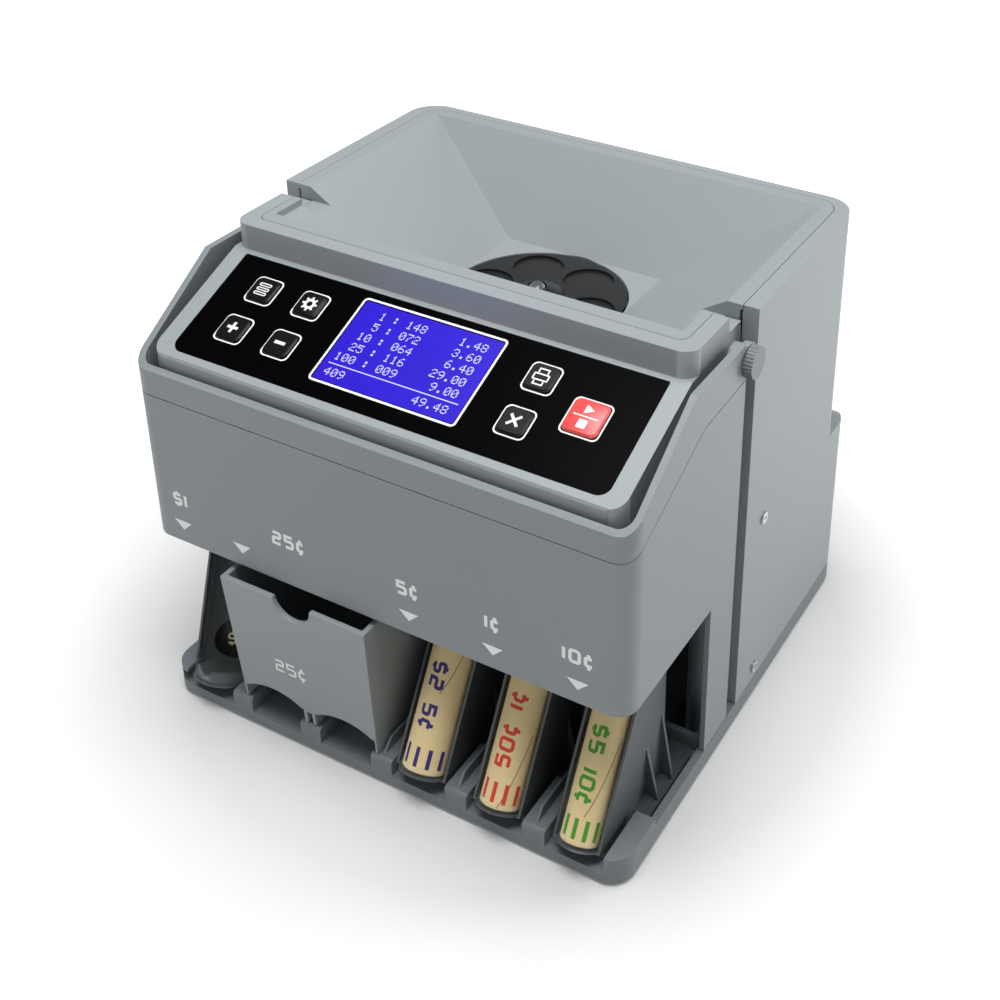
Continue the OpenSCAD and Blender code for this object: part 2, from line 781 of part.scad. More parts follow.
module cover_skirt() {
    color("#7d8386") cover_shell(skirt_t, true);
    // stiffening ribs inside the front wall
    color("#7d8386") for (i = [1 : bays - 1])
        block(bay_x(i) - pitch/2 - 1, bay_x(i) - pitch/2 + 1, cover_y + skirt_t - eps,
            cover_y + skirt_t + 2, cover_low + 6, head_low - 2);
}

// Thumbscrew: knurled head outside the arm, shoulder through arm and boss
module pivot_screw(side) {
    teeth = 28;
    x0 = half_w + 0.25;
    color("#6f7578") {
        difference() {
            side_rod(side, x0, x0 + knob_t, pivot_y, pivot_z, knob_r);
            for (i = [0 : teeth - 1])
                translate([0, pivot_y, pivot_z]) rotate([i*360/teeth, 0, 0])
                    translate([0, 0, knob_r + 0.25])
                        rod_x(-x0 - knob_t - 1, x0 + knob_t + 1, 0, 0, 0.6, 16);
        }
        side_rod(side, head_hw - 4.5, x0 + eps, pivot_y, pivot_z, pivot_r);
    }
}

module pivot_screw_left() { pivot_screw(-1); }
module pivot_screw_right() { pivot_screw(1); }

// ---------------------------------------------------------------- coin tubes

foot_in = floor_z + loose;
tube_y = front_y + 2.5;
tube_lip = 3;
channel_floor = 1;
web_y = well_front + plate_l - 20;
web_z = 84;

function wrap_r(coin_d) = coin_d/2 + paper_t;
function sleeve_r(coin_d) = wrap_r(coin_d) + loose + sleeve_t;
function bore_r(coin_d) = sleeve_r(coin_d) + loose;
function tube_outer(coin_d) = bore_r(coin_d) + tube_t;
function tube_lean(i) = i == 0 ? dollar_lean : lean;
function channel_l(i) = i == 0 ? tube_l - dollar_short : tube_l;
function axis_y(i, z) = tube_y + (i == 0 ? dollar_back : 0) + (z - floor_z - 2)*tan(tube_lean(i));
function axis_z(i, coin_d) = foot_in + sleeve_r(coin_d)*sin(tube_lean(i))
    + channel_floor*cos(tube_lean(i));

// The channel's own frame: Z along the coin column, Y to the channel's back
module in_tube(i, coin_d) {
    z0 = axis_z(i, coin_d);
    translate([bay_x(i), axis_y(i, z0), z0]) rotate([-tube_lean(i), 0, 0]) children();
}

module coin_tube(i, coin_d) {
    x = bay_x(i);
    outer = tube_outer(coin_d);
    length = channel_l(i);
    mouth_hw = bore_r(coin_d) + 0.15;
    plate_x = pitch/2 - 1.4;
    gusset_t = 1.6;
    difference() {
        union() {
            // channel: two walls, a curved back and a floor for the sleeve
            in_tube(i, coin_d) difference() {
                translate([-outer, -tube_lip, -channel_floor])
                    cube([2*outer, tube_lip + outer, length]);
                translate([-mouth_hw, -tube_lip - 1, 0]) cube([2*mouth_hw, tube_lip + 1, length]);
                cylinder(r = bore_r(coin_d), h = length, $fn = 64);
            }
            in_tube(i, coin_d) translate([0, 0, -channel_floor])
                cylinder(r = sleeve_r(coin_d), h = channel_floor, $fn = 64);
            // walls from the channel down to the foot
            for (side = [-1, 1])
                along_x(side > 0 ? x + outer - tube_t : x - outer, tube_t) polygon([
                    [axis_y(i, foot_in) + 5, foot_in + 1], [web_y, foot_in + 1], [web_y, web_z],
                    [axis_y(i, web_z + 8), web_z + 8], [axis_y(i, foot_in + 12), foot_in + 12]]);
            // foot plate with its raised pad
            translate([0, 0, foot_in]) linear_extrude(height = plate_t)
                rounded(x - plate_x, x + plate_x, well_front, well_front + plate_l, 5);
            translate([0, 0, foot_in]) linear_extrude(height = plate_t + 1)
                rounded(x - plate_x + 3, x + plate_x - 3, well_front + 3, well_front + plate_l - 3, 3);
            // two gussets on each side
            for (side = [-1, 1], g = [[well_front + 14, 34], [well_front + 29, 44]])
                along_y(g[0], gusset_t) polygon([
                    [x + side*(outer - 0.2), foot_in + plate_t],
                    [x + side*(plate_x - 1), foot_in + plate_t],
                    [x + side*(outer - 0.2), foot_in + g[1]]]);
        }
        block(x - pitch, x + pitch, front_y - 9, well_front + plate_l + 1, 0, foot_in);
        // room for the blocks on both sides of the bay
        for (side = [-1, 1]) {
            translate([x, 0, 0]) mirrored_block(side, slot_w/2 - loose, pitch, front_y - 9,
                well_front - eps, 0, block_z + loose);
        }
    }
}

// Clear half-open sleeve with a low cup at its foot
module sleeve(i, coin_d, cup) {
    r = sleeve_r(coin_d);
    length = channel_l(i) - sleeve_short;
    color("#9fb0b8") in_tube(i, coin_d) difference() {
        cylinder(r = r, h = length, $fn = 64);
        translate([0, 0, sleeve_t]) cylinder(r = r - sleeve_t, h = length, $fn = 64);
        // scooped front
        translate([-r - 1, -r - 1, cup]) cube([2*r + 2, r, length]);
        translate([0, -r - 1, cup + 1]) rotate([-90, 0, 0]) cylinder(r = cup*0.6, h = r);
    }
}

module tube_dollar() { color("#505457") coin_tube(0, dollar_d); }
module tube_nickel() { color("#505457") coin_tube(3, nickel_d); }
module tube_penny() { color("#505457") coin_tube(4, penny_d); }
module tube_dime() { color("#505457") coin_tube(5, dime_d); }
module sleeve_dollar() { sleeve(0, dollar_d, 7); }
module sleeve_nickel() { sleeve(3, nickel_d, 5); }
module sleeve_penny() { sleeve(4, penny_d, 5); }
module sleeve_dime() { sleeve(5, dime_d, 5); }

// Paper coin wrapper: an open tube with a turned-in foot
module wrapper(i, coin_d) {
    r = wrap_r(coin_d);
    in_tube(i, coin_d) translate([0, 0, sleeve_t]) rotate_extrude($fn = 64) polygon([
        [0, 0], [r - 0.6, 0], [r, 0.6], [r, wrapper_l], [r - paper_t, wrapper_l],
        [r - paper_t, 1], [0, 1]]);
}

module wrapper_nickel() { color("#d8be8c") wrapper(3, nickel_d); }
module wrapper_penny() { color("#d8be8c") wrapper(4, penny_d); }
module wrapper_dime() { color("#d8be8c") wrapper(5, dime_d); }

// ---------------------------------------------------------------- bin

// The bin stands on the blocks of two bays
module quarter_bin() {
    z0 = block_z + loose;
    x_mid = (bay_x(1) + bay_x(2))/2;
    top_hw = pitch - 0.4;
    low_hw = pitch - 2.4;
    top_y = -depth/2;
    low_y = front_y + 1;
    back_top_y = low_y + bin_d;
    rise = bin_top - z0;
    color("#7d8386") translate([x_mid, 0, 0]) difference() {
        bin_form(0, top_hw, low_hw, top_y, low_y, back_top_y, z0, bin_top);
        // the coin space, above the arches
        difference() {
            bin_form(bin_t, top_hw, low_hw, top_y, low_y, back_top_y, z0, bin_top + 1);
            block(-pitch, pitch, -depth, depth, z0 - 1, z0 + bin_leg + 8.4);
        }
        // two arched tunnels under it, open at the front and back
        for (side = [-1, 1]) {
            span = pitch - 7;
            along_y(-depth, 2*depth) intersection() {
                translate([side*pitch/2 - span/2, z0 - 1]) square([span, bin_leg + 6.6]);
                union() {
                    translate([side*pitch/2 - span/2, z0 - 1]) square([span, bin_leg + 1]);
                    translate([side*pitch/2, z0 + bin_leg - 26]) circle(31, $fn = 96);
                }
            }
        }
        // slit between the middle pair of legs
        block(-1.6, 1.6, -depth, depth, z0 - 1, z0 + bin_leg - 1);
        // finger notch in the front wall
        along_y(top_y - 1, bin_t + 6) union() {
            translate([0, bin_top]) circle(notch_r);
        }
    }
}

// Leaning front, upright back and slightly tapered sides
module bin_form(t, top_hw, low_hw, top_y, low_y, back, z0, z1) {
    rise = bin_top - block_z - loose;
    k = (z1 - z0)/rise;
    intersection() {
        along_x(-2*pitch, 4*pitch) polygon([
            [low_y + t, z0], [back - t, z0], [back - t, z1],
            [low_y + (top_y - low_y)*k + t, z1]]);
        along_y(-depth, 2*depth) polygon([
            [-low_hw + t, z0], [low_hw - t, z0], [low_hw + (top_hw - low_hw)*k - t, z1],
            [-low_hw - (top_hw - low_hw)*k + t, z1]]);
    }
}

// ---------------------------------------------------------------- works

// Two side plates that carry the head, the track and the shelf
module chassis_sides() {
    foot = floor_z;
    color("#8d9092") for (side = [-1, 1]) {
        x0 = side > 0 ? chassis_x : -chassis_x - plate_w;
        along_x(x0, plate_w) difference() {
            polygon([
                [chassis_y0, foot], [works_back, foot], [works_back, shelf_z],
                [track_y0 - 6, shelf_z], [track_y0 - 6, chute_low], [chassis_y0, chute_low]]);
            translate([split_y + 40, 90]) circle(24);
            for (y = chassis_screw_y()) translate([y, head_low + 8]) circle(1.6);
        }
        // turned-in foot flange
        mirrored_block(side, chassis_x - flange_w, chassis_x + plate_w, chassis_y0 + 2, works_back,
            foot, foot + plate_w);
    }
}

// Shelf under the hopper, with a hole for the disc's bearing
module feed_shelf() {
    hw = chassis_x - seam;
    color("#8d9092") translate([0, 0, shelf_z]) difference() {
        linear_extrude(height = shelf_t) difference() {
            translate([-hw, split_y - 30]) square([2*hw, works_back - split_y + 30]);
            translate([0, disc_y]) circle(spindle_r + 4 + 0.05);
            translate([0, motor_y]) circle(12);
        }
    }
    color("#8d9092") for (side = [-1, 1])
        mirrored_block(side, hw - 2, hw, split_y - 30, works_back, shelf_z - 12, shelf_z + eps);
}

module disc_bearing() {
    color("#b08d57") translate([0, disc_y, 0]) rotate_extrude() polygon([
        [spindle_r + fit, shelf_z - 7], [spindle_r + 4, shelf_z - 7],
        [spindle_r + 4, shelf_z + shelf_t], [spindle_r + 7, shelf_z + shelf_t],
        [spindle_r + 7, plate_z + 1.6], [spindle_r + fit, plate_z + 1.6]]);
}

module feed_disc() {
    color("#151617") translate([0, disc_y, 0]) {
        difference() {
            translate([0, 0, disc_low]) cylinder(r = disc_r, h = disc_t, $fn = 96);
            translate([0, 0, disc_low - 1]) cylinder(r = spindle_r, h = disc_t + 2);
            // pockets that carry coins round
            for (a = [0 : 60 : 300])
                rotate([0, 0, a]) translate([disc_r - 15.5, 0, disc_z - 1.4])
                    cylinder(r = 13.6, h = 3);
        }
        // low cone that throws coins outwards
        translate([0, 0, disc_z - eps]) rotate_extrude() polygon([
            [spindle_r + 1, 0], [14, 0], [12.6, 2.4], [spindle_r + 1, 6]]);
    }
}

module disc_spindle() {
    color("#c9ccce") translate([0, disc_y, 0]) {
        translate([0, 0, pulley_z - 4]) cylinder(r = spindle_r, h = disc_z - pulley_z + 4);
        translate([0, 0, disc_z]) rotate_extrude() polygon([
            [0, -eps], [spindle_r + 0.8, -eps], [spindle_r + 0.8, 5], [spindle_r - 1, 7], [0, 7]]);
    }
}

// Belt pulley: two flanges and a groove
module pulley(r, bore, z) {
    translate([0, 0, z]) rotate_extrude($fn = 96) polygon([
        [bore, 0], [r + 1.6, 0], [r + 1.6, 0.8], [r, 1.6], [r, pulley_t - 1.6],
        [r + 1.6, pulley_t - 0.8], [r + 1.6, pulley_t], [bore, pulley_t]]);
}

module disc_pulley() {
    color("#2a2b2d") translate([0, disc_y, 0]) pulley(big_pulley_r, spindle_r, pulley_z - 3);
}

module motor_pulley() {
    color("#2a2b2d") translate([0, motor_y, 0]) {
        pulley(small_pulley_r, 2, pulley_z - 3);
        translate([0, 0, pulley_z - 3]) cylinder(r = 2, h = 1);
    }
}

// Gearmotor hung under the shelf, with its shaft through the pulley
module drive_motor() {
    top = pulley_z - 3 - 1.5;
    color("#5b5f62") translate([0, motor_y, 0]) {
        translate([0, 0, top - motor_l]) cylinder(r = motor_r, h = motor_l);
        translate([0, 0, top - eps]) cylinder(r = 5, h = 1 + eps);
    }
    // bracket with two posts up to the shelf
    color("#5b5f62") for (side = [-1, 1])
        mirrored_block(side, motor_r - 1, motor_r + 6, motor_y - 6, motor_y + 6, top - 4, shelf_z);
}

// Flat belt round both pulleys, clear of their grooves
module drive_belt() {
    gap = 0.3;
    h = pulley_t - 3.8;
    d = motor_y - disc_y;
    r1 = big_pulley_r + gap;
    r2 = small_pulley_r + gap;
    a = asin((r1 - r2)/d);
    color("#1b1b1c") translate([0, disc_y, pulley_z - h/2]) linear_extrude(height = h) difference() {
        belt_outline(r1 + belt_t, r2 + belt_t, d, a);
        belt_outline(r1, r2, d, a);
    }
}

module belt_outline(r1, r2, d, a) {
    circle(r1, $fn = 96);
    translate([0, d]) circle(r2, $fn = 64);
    polygon([
        [-r1*cos(a), r1*sin(a)], [0, 0], [r1*cos(a), r1*sin(a)],
        [r2*cos(a), d + r2*sin(a)], [0, d], [-r2*cos(a), d + r2*sin(a)]]);
}

// Track with graded holes: small coins fall first, from the right
module sorting_track() {
    sizes = [dollar_d, quarter_d, quarter_d, nickel_d, penny_d, dime_d];
    color("#b9bdbf") translate([0, 0, track_z - track_t]) linear_extrude(height = track_t) difference() {
        translate([-chassis_x + seam, track_y0]) square([2*(chassis_x - seam), track_y1 - track_y0]);
        for (i = [0 : bays - 1])
            translate([bay_x(i), roller_y]) circle(d = sizes[i] + 1);
    }
    color("#b9bdbf") for (y = [track_y0, track_y1 - 2]) difference() {
        union() {
            block(-chassis_x + seam, chassis_x - seam, y, y + 2, track_z - eps, track_z + 5);
            // lugs that carry the rollers
            for (x = [-roller_x, roller_x])
                block(x - 4.5, x + 4.5, y, y + 2, track_z, roller_z + 4.5);
        }
        for (x = [-roller_x, roller_x])
            translate([x, y - 1, roller_z]) rotate([-90, 0, 0])
                cylinder(r = axle_r + fit, h = 4, $fn = 48);
    }
}

// Six open chutes side by side under the track
module chute_block() {
    chute_wall = 2.5;
    chute_hw = pitch/2 - chute_wall;
    color("#606467") difference() {
        block(-chassis_x + seam, chassis_x - seam, track_y0, track_y1, chute_low, chute_top);
        for (i = [0 : bays - 1])
            block(max(bay_x(i) - chute_hw, chute_wall + seam - chassis_x),
                min(bay_x(i) + chute_hw, chassis_x - seam - chute_wall),
                track_y0 + 2, track_y1 - 2, chute_low - 1, chute_top + 1);
    }
}

module sensor_bar() {
    bar_hw = roller_x - 5;
    bar_t = 3.8;
    bar_low = track_z + 5.4;
    bar_h = 6.6;
    wall_y = track_y1 - 2.2;
    color("#202224") difference() {
        block(-bar_hw, bar_hw, wall_y - bar_t, wall_y, bar_low, bar_low + bar_h);
        for (i = [0 : bays - 1])
            translate([bay_x(i)*0.8, wall_y - bar_t - 1, bar_low + 3.2]) rotate([-90, 0, 0])
                cylinder(r = 1.8, h = 3);
    }
    // arms that hang it from the track's rear wall
    color("#202224") for (x = [2 - bar_hw, 0, bar_hw - 2])
        block(x - 2, x + 2, wall_y - eps, track_y1 + 1.4, bar_low - 0.4, bar_low + 3.6);
}

belt_w = 14;

module roller(x) {
    r = roller_r;
    color("#3a3c3f") translate([x, roller_y, roller_z]) rotate([90, 0, 0]) {
        translate([0, 0, -belt_w/2 - 1]) cylinder(r = r, h = belt_w + 2);
        translate([0, 0, -(track_y1 - track_y0)/2 + 1]) cylinder(r = axle_r, h = track_y1 - track_y0 - 2);
    }
}

module drive_roller() { roller(-roller_x); }
module idler_roller() { roller(roller_x); }

// Belt that carries the coins along the track
module transport_belt() {
    gap = 0.3;
    color("#2b2d2f") translate([0, roller_y + belt_w/2, roller_z]) rotate([90, 0, 0])
        linear_extrude(height = belt_w) difference() {
            stadium(roller_r + gap + 1.2);
            stadium(roller_r + gap);
        }
}

module stadium(r) {
    translate([-roller_x, -r]) square([2*roller_x, 2*r]);
    for (side = [-1, 1]) translate([side*roller_x, 0]) circle(r);
}

module main_board() {
    y = motor_y - 15;
    hw = half_w/2;
    low = floor_z + 22;
    top = motor_low - 15;
    color("#2c6b45") block(-hw, hw, y, y + board_t, low, top);
    color("#303236") for (p = [[-0.6, 0.25, 22, 14], [0, 0.4, 18, 18], [0.55, 0.2, 12, 26]])
        block(p[0]*hw, p[0]*hw + p[2], y - 4, y + eps, low + p[1]*(top - low),
            low + p[1]*(top - low) + p[3]);
    // edge posts down to the floor
    color("#8d9092") for (x = [2 - hw, hw - 8])
        block(x, x + 6, y - 3, y + eps, floor_z, low + 4);
}

module power_supply() {
    x1 = chassis_x - flange_w - 1.5;
    color("#9ea2a5") block(x1 - psu_w, x1, back_y - 50, back_y - 14, floor_z, floor_z + 26);
}

// Fitting in a rear opening: a body of width w through it and a flange behind the wall
module rear_fitting(x, w, deep) {
    play = seam;
    lap = 3;
    block(x + play, x + w - play, back_y - deep, back_y, inlet_z + play, inlet_z + inlet_h - play);
    block(x - lap, x + w + lap, back_y - wall - 2.3, back_y - wall - 0.02, inlet_z - lap + 0.5,
        inlet_z + inlet_h + lap - 0.5);
}

// Mains inlet with three pins in a recess
module power_inlet() {
    rim = 3;
    recess = 14;
    mid_x = inlet_x + inlet_w/2;
    mid_z = inlet_z + inlet_h/2;
    color("#17181a") difference() {
        rear_fitting(inlet_x, inlet_w, 20);
        block(inlet_x + rim, inlet_x + inlet_w - rim, back_y - recess, back_y + 1, inlet_z + rim,
            inlet_z + inlet_h - rim);
    }
    color("#c9ccce") for (p = [[0, 3.6], [-5.5, -2.2], [5.5, -2.2]])
        block(mid_x + p[0] - 2, mid_x + p[0] + 2, back_y - recess - eps, back_y - 3,
            mid_z + p[1] - 1, mid_z + p[1] + 1);
}

// Frame of the rocker switch
module power_switch() {
    rim = 1.5;
    mid_z = inlet_z + inlet_h/2;
    color("#17181a") difference() {
        rear_fitting(switch_x, switch_w, 16);
        block(switch_x + rim, switch_x + switch_w - rim, back_y - 13, back_y + 1, inlet_z + rim + 0.3,
            inlet_z + inlet_h - rim - 0.3);
        rod_x(switch_x - 0.6, switch_x + switch_w + 0.6, rocker_y(), mid_z, 1 + fit);
    }
}

function rocker_y() = back_y - 6;

// Rocker with its own stub axle
module switch_rocker() {
    rim = 1.5;
    mid_z = inlet_z + inlet_h/2;
    half = inlet_h/2 - rim - 0.3;
    color("#2a2b2d") {
        along_x(switch_x + rim + 0.4, switch_w - 2*rim - 0.8) polygon([
            [rocker_y() - 4, mid_z - 4.2], [rocker_y() + 2.4, mid_z + 0.8 - half],
            [rocker_y() + 4.6, mid_z + 1.4 - half], [rocker_y() + 3, mid_z],
            [rocker_y() + 4.6, mid_z + half - 1.4], [rocker_y() + 2.4, mid_z + half - 0.8],
            [rocker_y() - 4, mid_z + 4.2]]);
        rod_x(switch_x + 0.4, switch_x + switch_w - 0.4, rocker_y(), mid_z, 1);
    }
}

// Small screws in the sides of the rear housing
module housing_screws() {
    color("#c9ccce") for (z = side_screw_z(), side = [-1, 1]) {
        side_rod(side, half_w - 6, half_w + 0.1, screw_y(), z, 1.9);
        difference() {
            side_rod(side, half_w, half_w + 1.2, screw_y(), z, 3.2);
            mirrored_block(side, half_w + 0.6, half_w + 2, screw_y() - 2, screw_y() + 2,
                z - 0.4, z + 0.4);
        }
    }
}

base_tray();
rubber_feet();
rear_housing();
head_housing();
hopper_funnel();
panel_overlay();
lcd_window();
lcd_module();
key_board();
key_batch();
key_set();
key_plus();
key_minus();
key_print();
key_clear();
key_start();
cover_band();
cover_skirt();
pivot_screw_left();
pivot_screw_right();
tube_dollar();
tube_nickel();
tube_penny();
tube_dime();
sleeve_dollar();
sleeve_nickel();
sleeve_penny();
sleeve_dime();
wrapper_nickel();
wrapper_penny();
wrapper_dime();
quarter_bin();
chassis_sides();
feed_shelf();
disc_bearing();
feed_disc();
disc_spindle();
disc_pulley();
drive_motor();
motor_pulley();
drive_belt();
sorting_track();
chute_block();
sensor_bar();
drive_roller();
idler_roller();
transport_belt();
main_board();
power_supply();
power_inlet();
power_switch();
switch_rocker();
housing_screws();
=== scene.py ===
import bmesh
import bpy
import math
from mathutils import Matrix, Vector


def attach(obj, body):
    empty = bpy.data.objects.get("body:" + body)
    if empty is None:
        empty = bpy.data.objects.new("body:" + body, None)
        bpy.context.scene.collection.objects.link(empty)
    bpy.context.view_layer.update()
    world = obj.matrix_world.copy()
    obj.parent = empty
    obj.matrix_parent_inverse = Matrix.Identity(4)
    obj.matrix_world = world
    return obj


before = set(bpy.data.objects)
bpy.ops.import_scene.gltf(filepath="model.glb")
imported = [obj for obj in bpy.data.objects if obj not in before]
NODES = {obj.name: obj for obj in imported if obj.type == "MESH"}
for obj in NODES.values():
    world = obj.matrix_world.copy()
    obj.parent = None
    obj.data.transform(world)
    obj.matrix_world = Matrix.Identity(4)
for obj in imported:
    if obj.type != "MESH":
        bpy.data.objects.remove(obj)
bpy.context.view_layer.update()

bl_info = {
    "name": "Coin sorting machine finish",
    "version": (1, 0, 0),
    "blender": (4, 5, 0),
    "location": "View3D > Sidebar > Sorter",
    "description": "Finishes, prints and lights the packed coin sorting machine",
    "category": "Object",
}

MM = 0.001

# Sizes of the machine in millimetres, as its source gives them
PANEL_TILT = math.radians(23)
PANEL_EDGE = Vector((0, -59.1, 233.8))  # middle of the sloped panel's upper edge
COVER_FACE_Y = -127.4
BIN_FOOT = (-128.5, 17.3)  # y and z of the foot of the bin's front face
BIN_RISE = Vector((0, -6, 80.7))  # from there to the face's upper edge
BAY_PITCH = 43.6
BAYS_MIDDLE = 2.5  # the bays are numbered from 0 at the left
TUBE_FOOT_Z = 8.3
TUBE_LEAN = math.radians(30)
TUBE_AXIS = (-127, 10)  # y and z of a point on the tubes' axes
DOLLAR_LEAN = math.radians(18)
DOLLAR_AXIS = (-120.5, 10)
CHANNEL_FLOOR = 1.0
SLEEVE_GAP = 0.3
SLEEVE_WALL = 1.0
PAPER = 0.5
DIME, PENNY, NICKEL, DOLLAR = 17.9, 19.05, 21.2, 26.5
ROCKER = (-47.2, 128.5, 46.2)  # middle of the rocker's axis
ROCKER_HOLLOW = 3  # from the axis out to the middle of its hollow face
ROCKER_SLOPE = math.atan2(1.6, 7.0)
ON_BAR = (0.4, 2.2, 5.6)  # half width, lower and upper end
OFF_RING = (-3.9, 1.8, 1.15)  # middle, outer and inner radius

# Each key cap's middle, across the panel and up from its upper edge, and its side
KEYS = {
    "batch": (-93.6, -19.3, 13.8),
    "set": (-65.4, -19.3, 13.8),
    "plus": (-93.6, -43.7, 13.8),
    "minus": (-65.4, -43.7, 13.8),
    "print": (62.4, -19.3, 13.8),
    "clear": (62.4, -43.7, 13.8),
    "start": (91.3, -31.5, 17.4),
}
KEY_RISE = 1.6
DISPLAY = (-40.5, 36.5, -54.1, -7.1)  # left, right, lower and upper edge
DISPLAY_RISE = -0.1

# Frames printed round the keys and the display: distance from the edge and corner radius
KEY_FRAME_OUT, KEY_FRAME_IN = (1.05, 2.9), (0.3, 2.3)
DISPLAY_FRAME_OUT, DISPLAY_FRAME_IN = (1.5, 2.4), (0.4, 1.4)

# Digits on the display: side of a dot, gap to the next and height, dots across a character,
# then rows and columns in millimetres from the display's upper left corner
DOT, DOT_GAP, DOT_HEIGHT = 0.52, 0.12, 0.04
DOT_COLUMNS = 5
ROW_TOP, ROW_STEP = 4.0, 6.6
COUNT_X, SUM_X = 4, 52.5
SUM_WIDTH = 5
TOTAL_TOP = 39.4
RULE = (3, 74, 37.4, 36.9)  # line over the totals: left, right, lower and upper edge
RULE_ROUND = 0.2
COUNT_ROWS = (("  1 : 148", "1.48"), ("  5 : 072", "3.60"), (" 10 : 064", "6.40"),
              (" 25 : 116", "29.00"), ("100 : 009", "9.00"))
TOTALS = ("409", "49.48")

# Coin numbers on the cover: each text, the middle of it and the middle of its arrow
COVER_SIGNS = (("$1", -114, -114), ("25c", -47.3, -77), ("5c", 21, 21), ("1c", 66.4, 66.4),
               ("10c", 110, 110))
NUMBER_Z = 128.8
ARROW_HALF, ARROW_TOP, ARROW_TIP = 5.4, 115.8, 110.6
LINE_SHARE = 0.215  # width of a number's line, as a share of its height
BIN_LINE_SHARE = 0.7  # and of the bin's, as a share of that
BIN_NUMBER = (-51, 34)

# Wrappers: bay, coin, ink, print, its quarter turns and the height at which the seam starts
WRAPPERS = {
    "nickel": (3, NICKEL, "3B2E78", "$2 5c", 3, 40),
    "penny": (4, PENNY, "E2452F", "50c 1c", 1, 1),
    "dime": (5, DIME, "4FA12E", "$5 10c", 3, 14),
}
VALUE_HEIGHT, VALUE_LINE, VALUE_Z = 8.4, 1.7, 38
BAR_COUNT, BAR_WIDTH, BAR_HEIGHT, BAR_Z = 11, 2, 9.6, 7.8
WRAPPER_INK = 0.08
# The seam's spiral: distance round the roll in radii, and rise
SEAM = ((0.3, 0), (0.42, 3), (0.56, 7), (0.7, 12), (0.85, 18), (1.0, 25), (1.2, 36))
SEAM_LINE, SEAM_RISE = 0.4, 0.06

# Round badge in the dollar channel: radius, width and number of the rings that let it bend,
# the hole they leave, its place up and round the channel, thickness, gap to the sleeve, print
BADGE_R, BADGE_RING, BADGE_RINGS, BADGE_HOLE = 10.7, 2, 6, 0.3
BADGE_Z, BADGE_TURN = 12.2, math.radians(-24)
BADGE_THICK, BADGE_GAP = 0.1, 0.02
BADGE_TEXT, BADGE_LINE, BADGE_PRINT_RISE = 7.0, 1.2, 0.11

# How finely shapes are drawn: longest step of a line round a roll, sides of a circle, height
# between shapes that cross, and the distance at which points are one
STEP, FINE_STEP = 0.8, 0.5
CIRCLE_STEPS = 32
LAYER = 0.004
POINT_MERGE = 0.0005

# How edges are rounded: the distance at which a node's points are one, the angle up to which
# faces are one, the angle from which an edge is rounded, and the steps that round it
EDGE_MERGE = 0.002
FLAT_ANGLE = math.radians(0.4)
EDGE_ANGLE = math.radians(50)
EDGE_STEPS = 2
THIN_WALL_SHARE = 0.8  # rounding of the thin-walled tray and tubes, as a share of the others'

# Stage, in metres: softboxes with place, side and watts, and the camera with its axes
FLOOR_REACH = 14
SOFTBOXES = {
    "softbox_top": ((0.08, -0.15, 1.65), 1.0, 27.0),
    "softbox_right": ((1.25, 1.15, 0.42), 0.8, 13.0),
    "softbox_front": ((-0.6, -1.8, 0.6), 1.2, 3.0),
}
LIT_POINT = Vector((0, 0, 0.12))
EYE = Vector((0.35782, -0.55351, 0.5851))
EYE_RIGHT = Vector((0.88591, 0.46324, 0.02373))
EYE_UP = Vector((-0.2247, 0.38384, 0.89564))
EYE_BACK = Vector((0.40579, -0.79879, 0.44414))
LENS = {"sensor_width": 36, "lens": 54.24, "shift_x": -0.1549, "shift_y": -0.2857,
        "clip_start": 0.01, "clip_end": 60}


# ---------------------------------------------------------------- colours and nodes

def hex_linear(code):
    """An sRGB hex colour as Blender's linear red, green, blue and alpha."""
    parts = [int(code[i:i + 2], 16) / 255 for i in (0, 2, 4)]
    return tuple(c / 12.92 if c <= 0.04045 else ((c + 0.055) / 1.055) ** 2.4
                 for c in parts) + (1,)


def shaded(colour, share):
    """The colour with its brightness times that share."""
    return tuple(min(1, c * share) for c in colour[:3]) + (1,)


def add(tree, kind, sets=None, links=None):
    """Adds one node: sets has its settings and socket values, links the sockets' sources."""
    node = tree.nodes.new(kind)
    for key, value in (sets or {}).items():
        if isinstance(key, int) or key in node.inputs:
            node.inputs[key].default_value = value
        else:
            setattr(node, key, value)
    for key, source in (links or {}).items():
        tree.links.new(source, node.inputs[key])
    return node


def new_finish(name, sets):
    """A material with one shader whose fixed numbers stand on the shader's own sockets."""
    material = bpy.data.materials.new(name)
    material.use_nodes = True
    tree = material.node_tree
    shader = tree.nodes["Principled BSDF"]
    for key, value in sets.items():
        shader.inputs[key].default_value = value
    return material, tree, shader


def mottle(tree, shader, colour, place, shift, patch_mm):
    """Slow drift of the colour over patches of that size, by that share of its brightness."""
    noise = add(tree, "ShaderNodeTexNoise", {"Scale": 1 / (patch_mm * MM), "Detail": 3.0},
                {"Vector": place})
    mix = add(tree, "ShaderNodeMix", {"data_type": "RGBA", 6: shaded(colour, 1 - shift),
                                      7: shaded(colour, 1 + shift)}, {0: noise.outputs["Fac"]})
    tree.links.new(mix.outputs[2], shader.inputs["Base Color"])


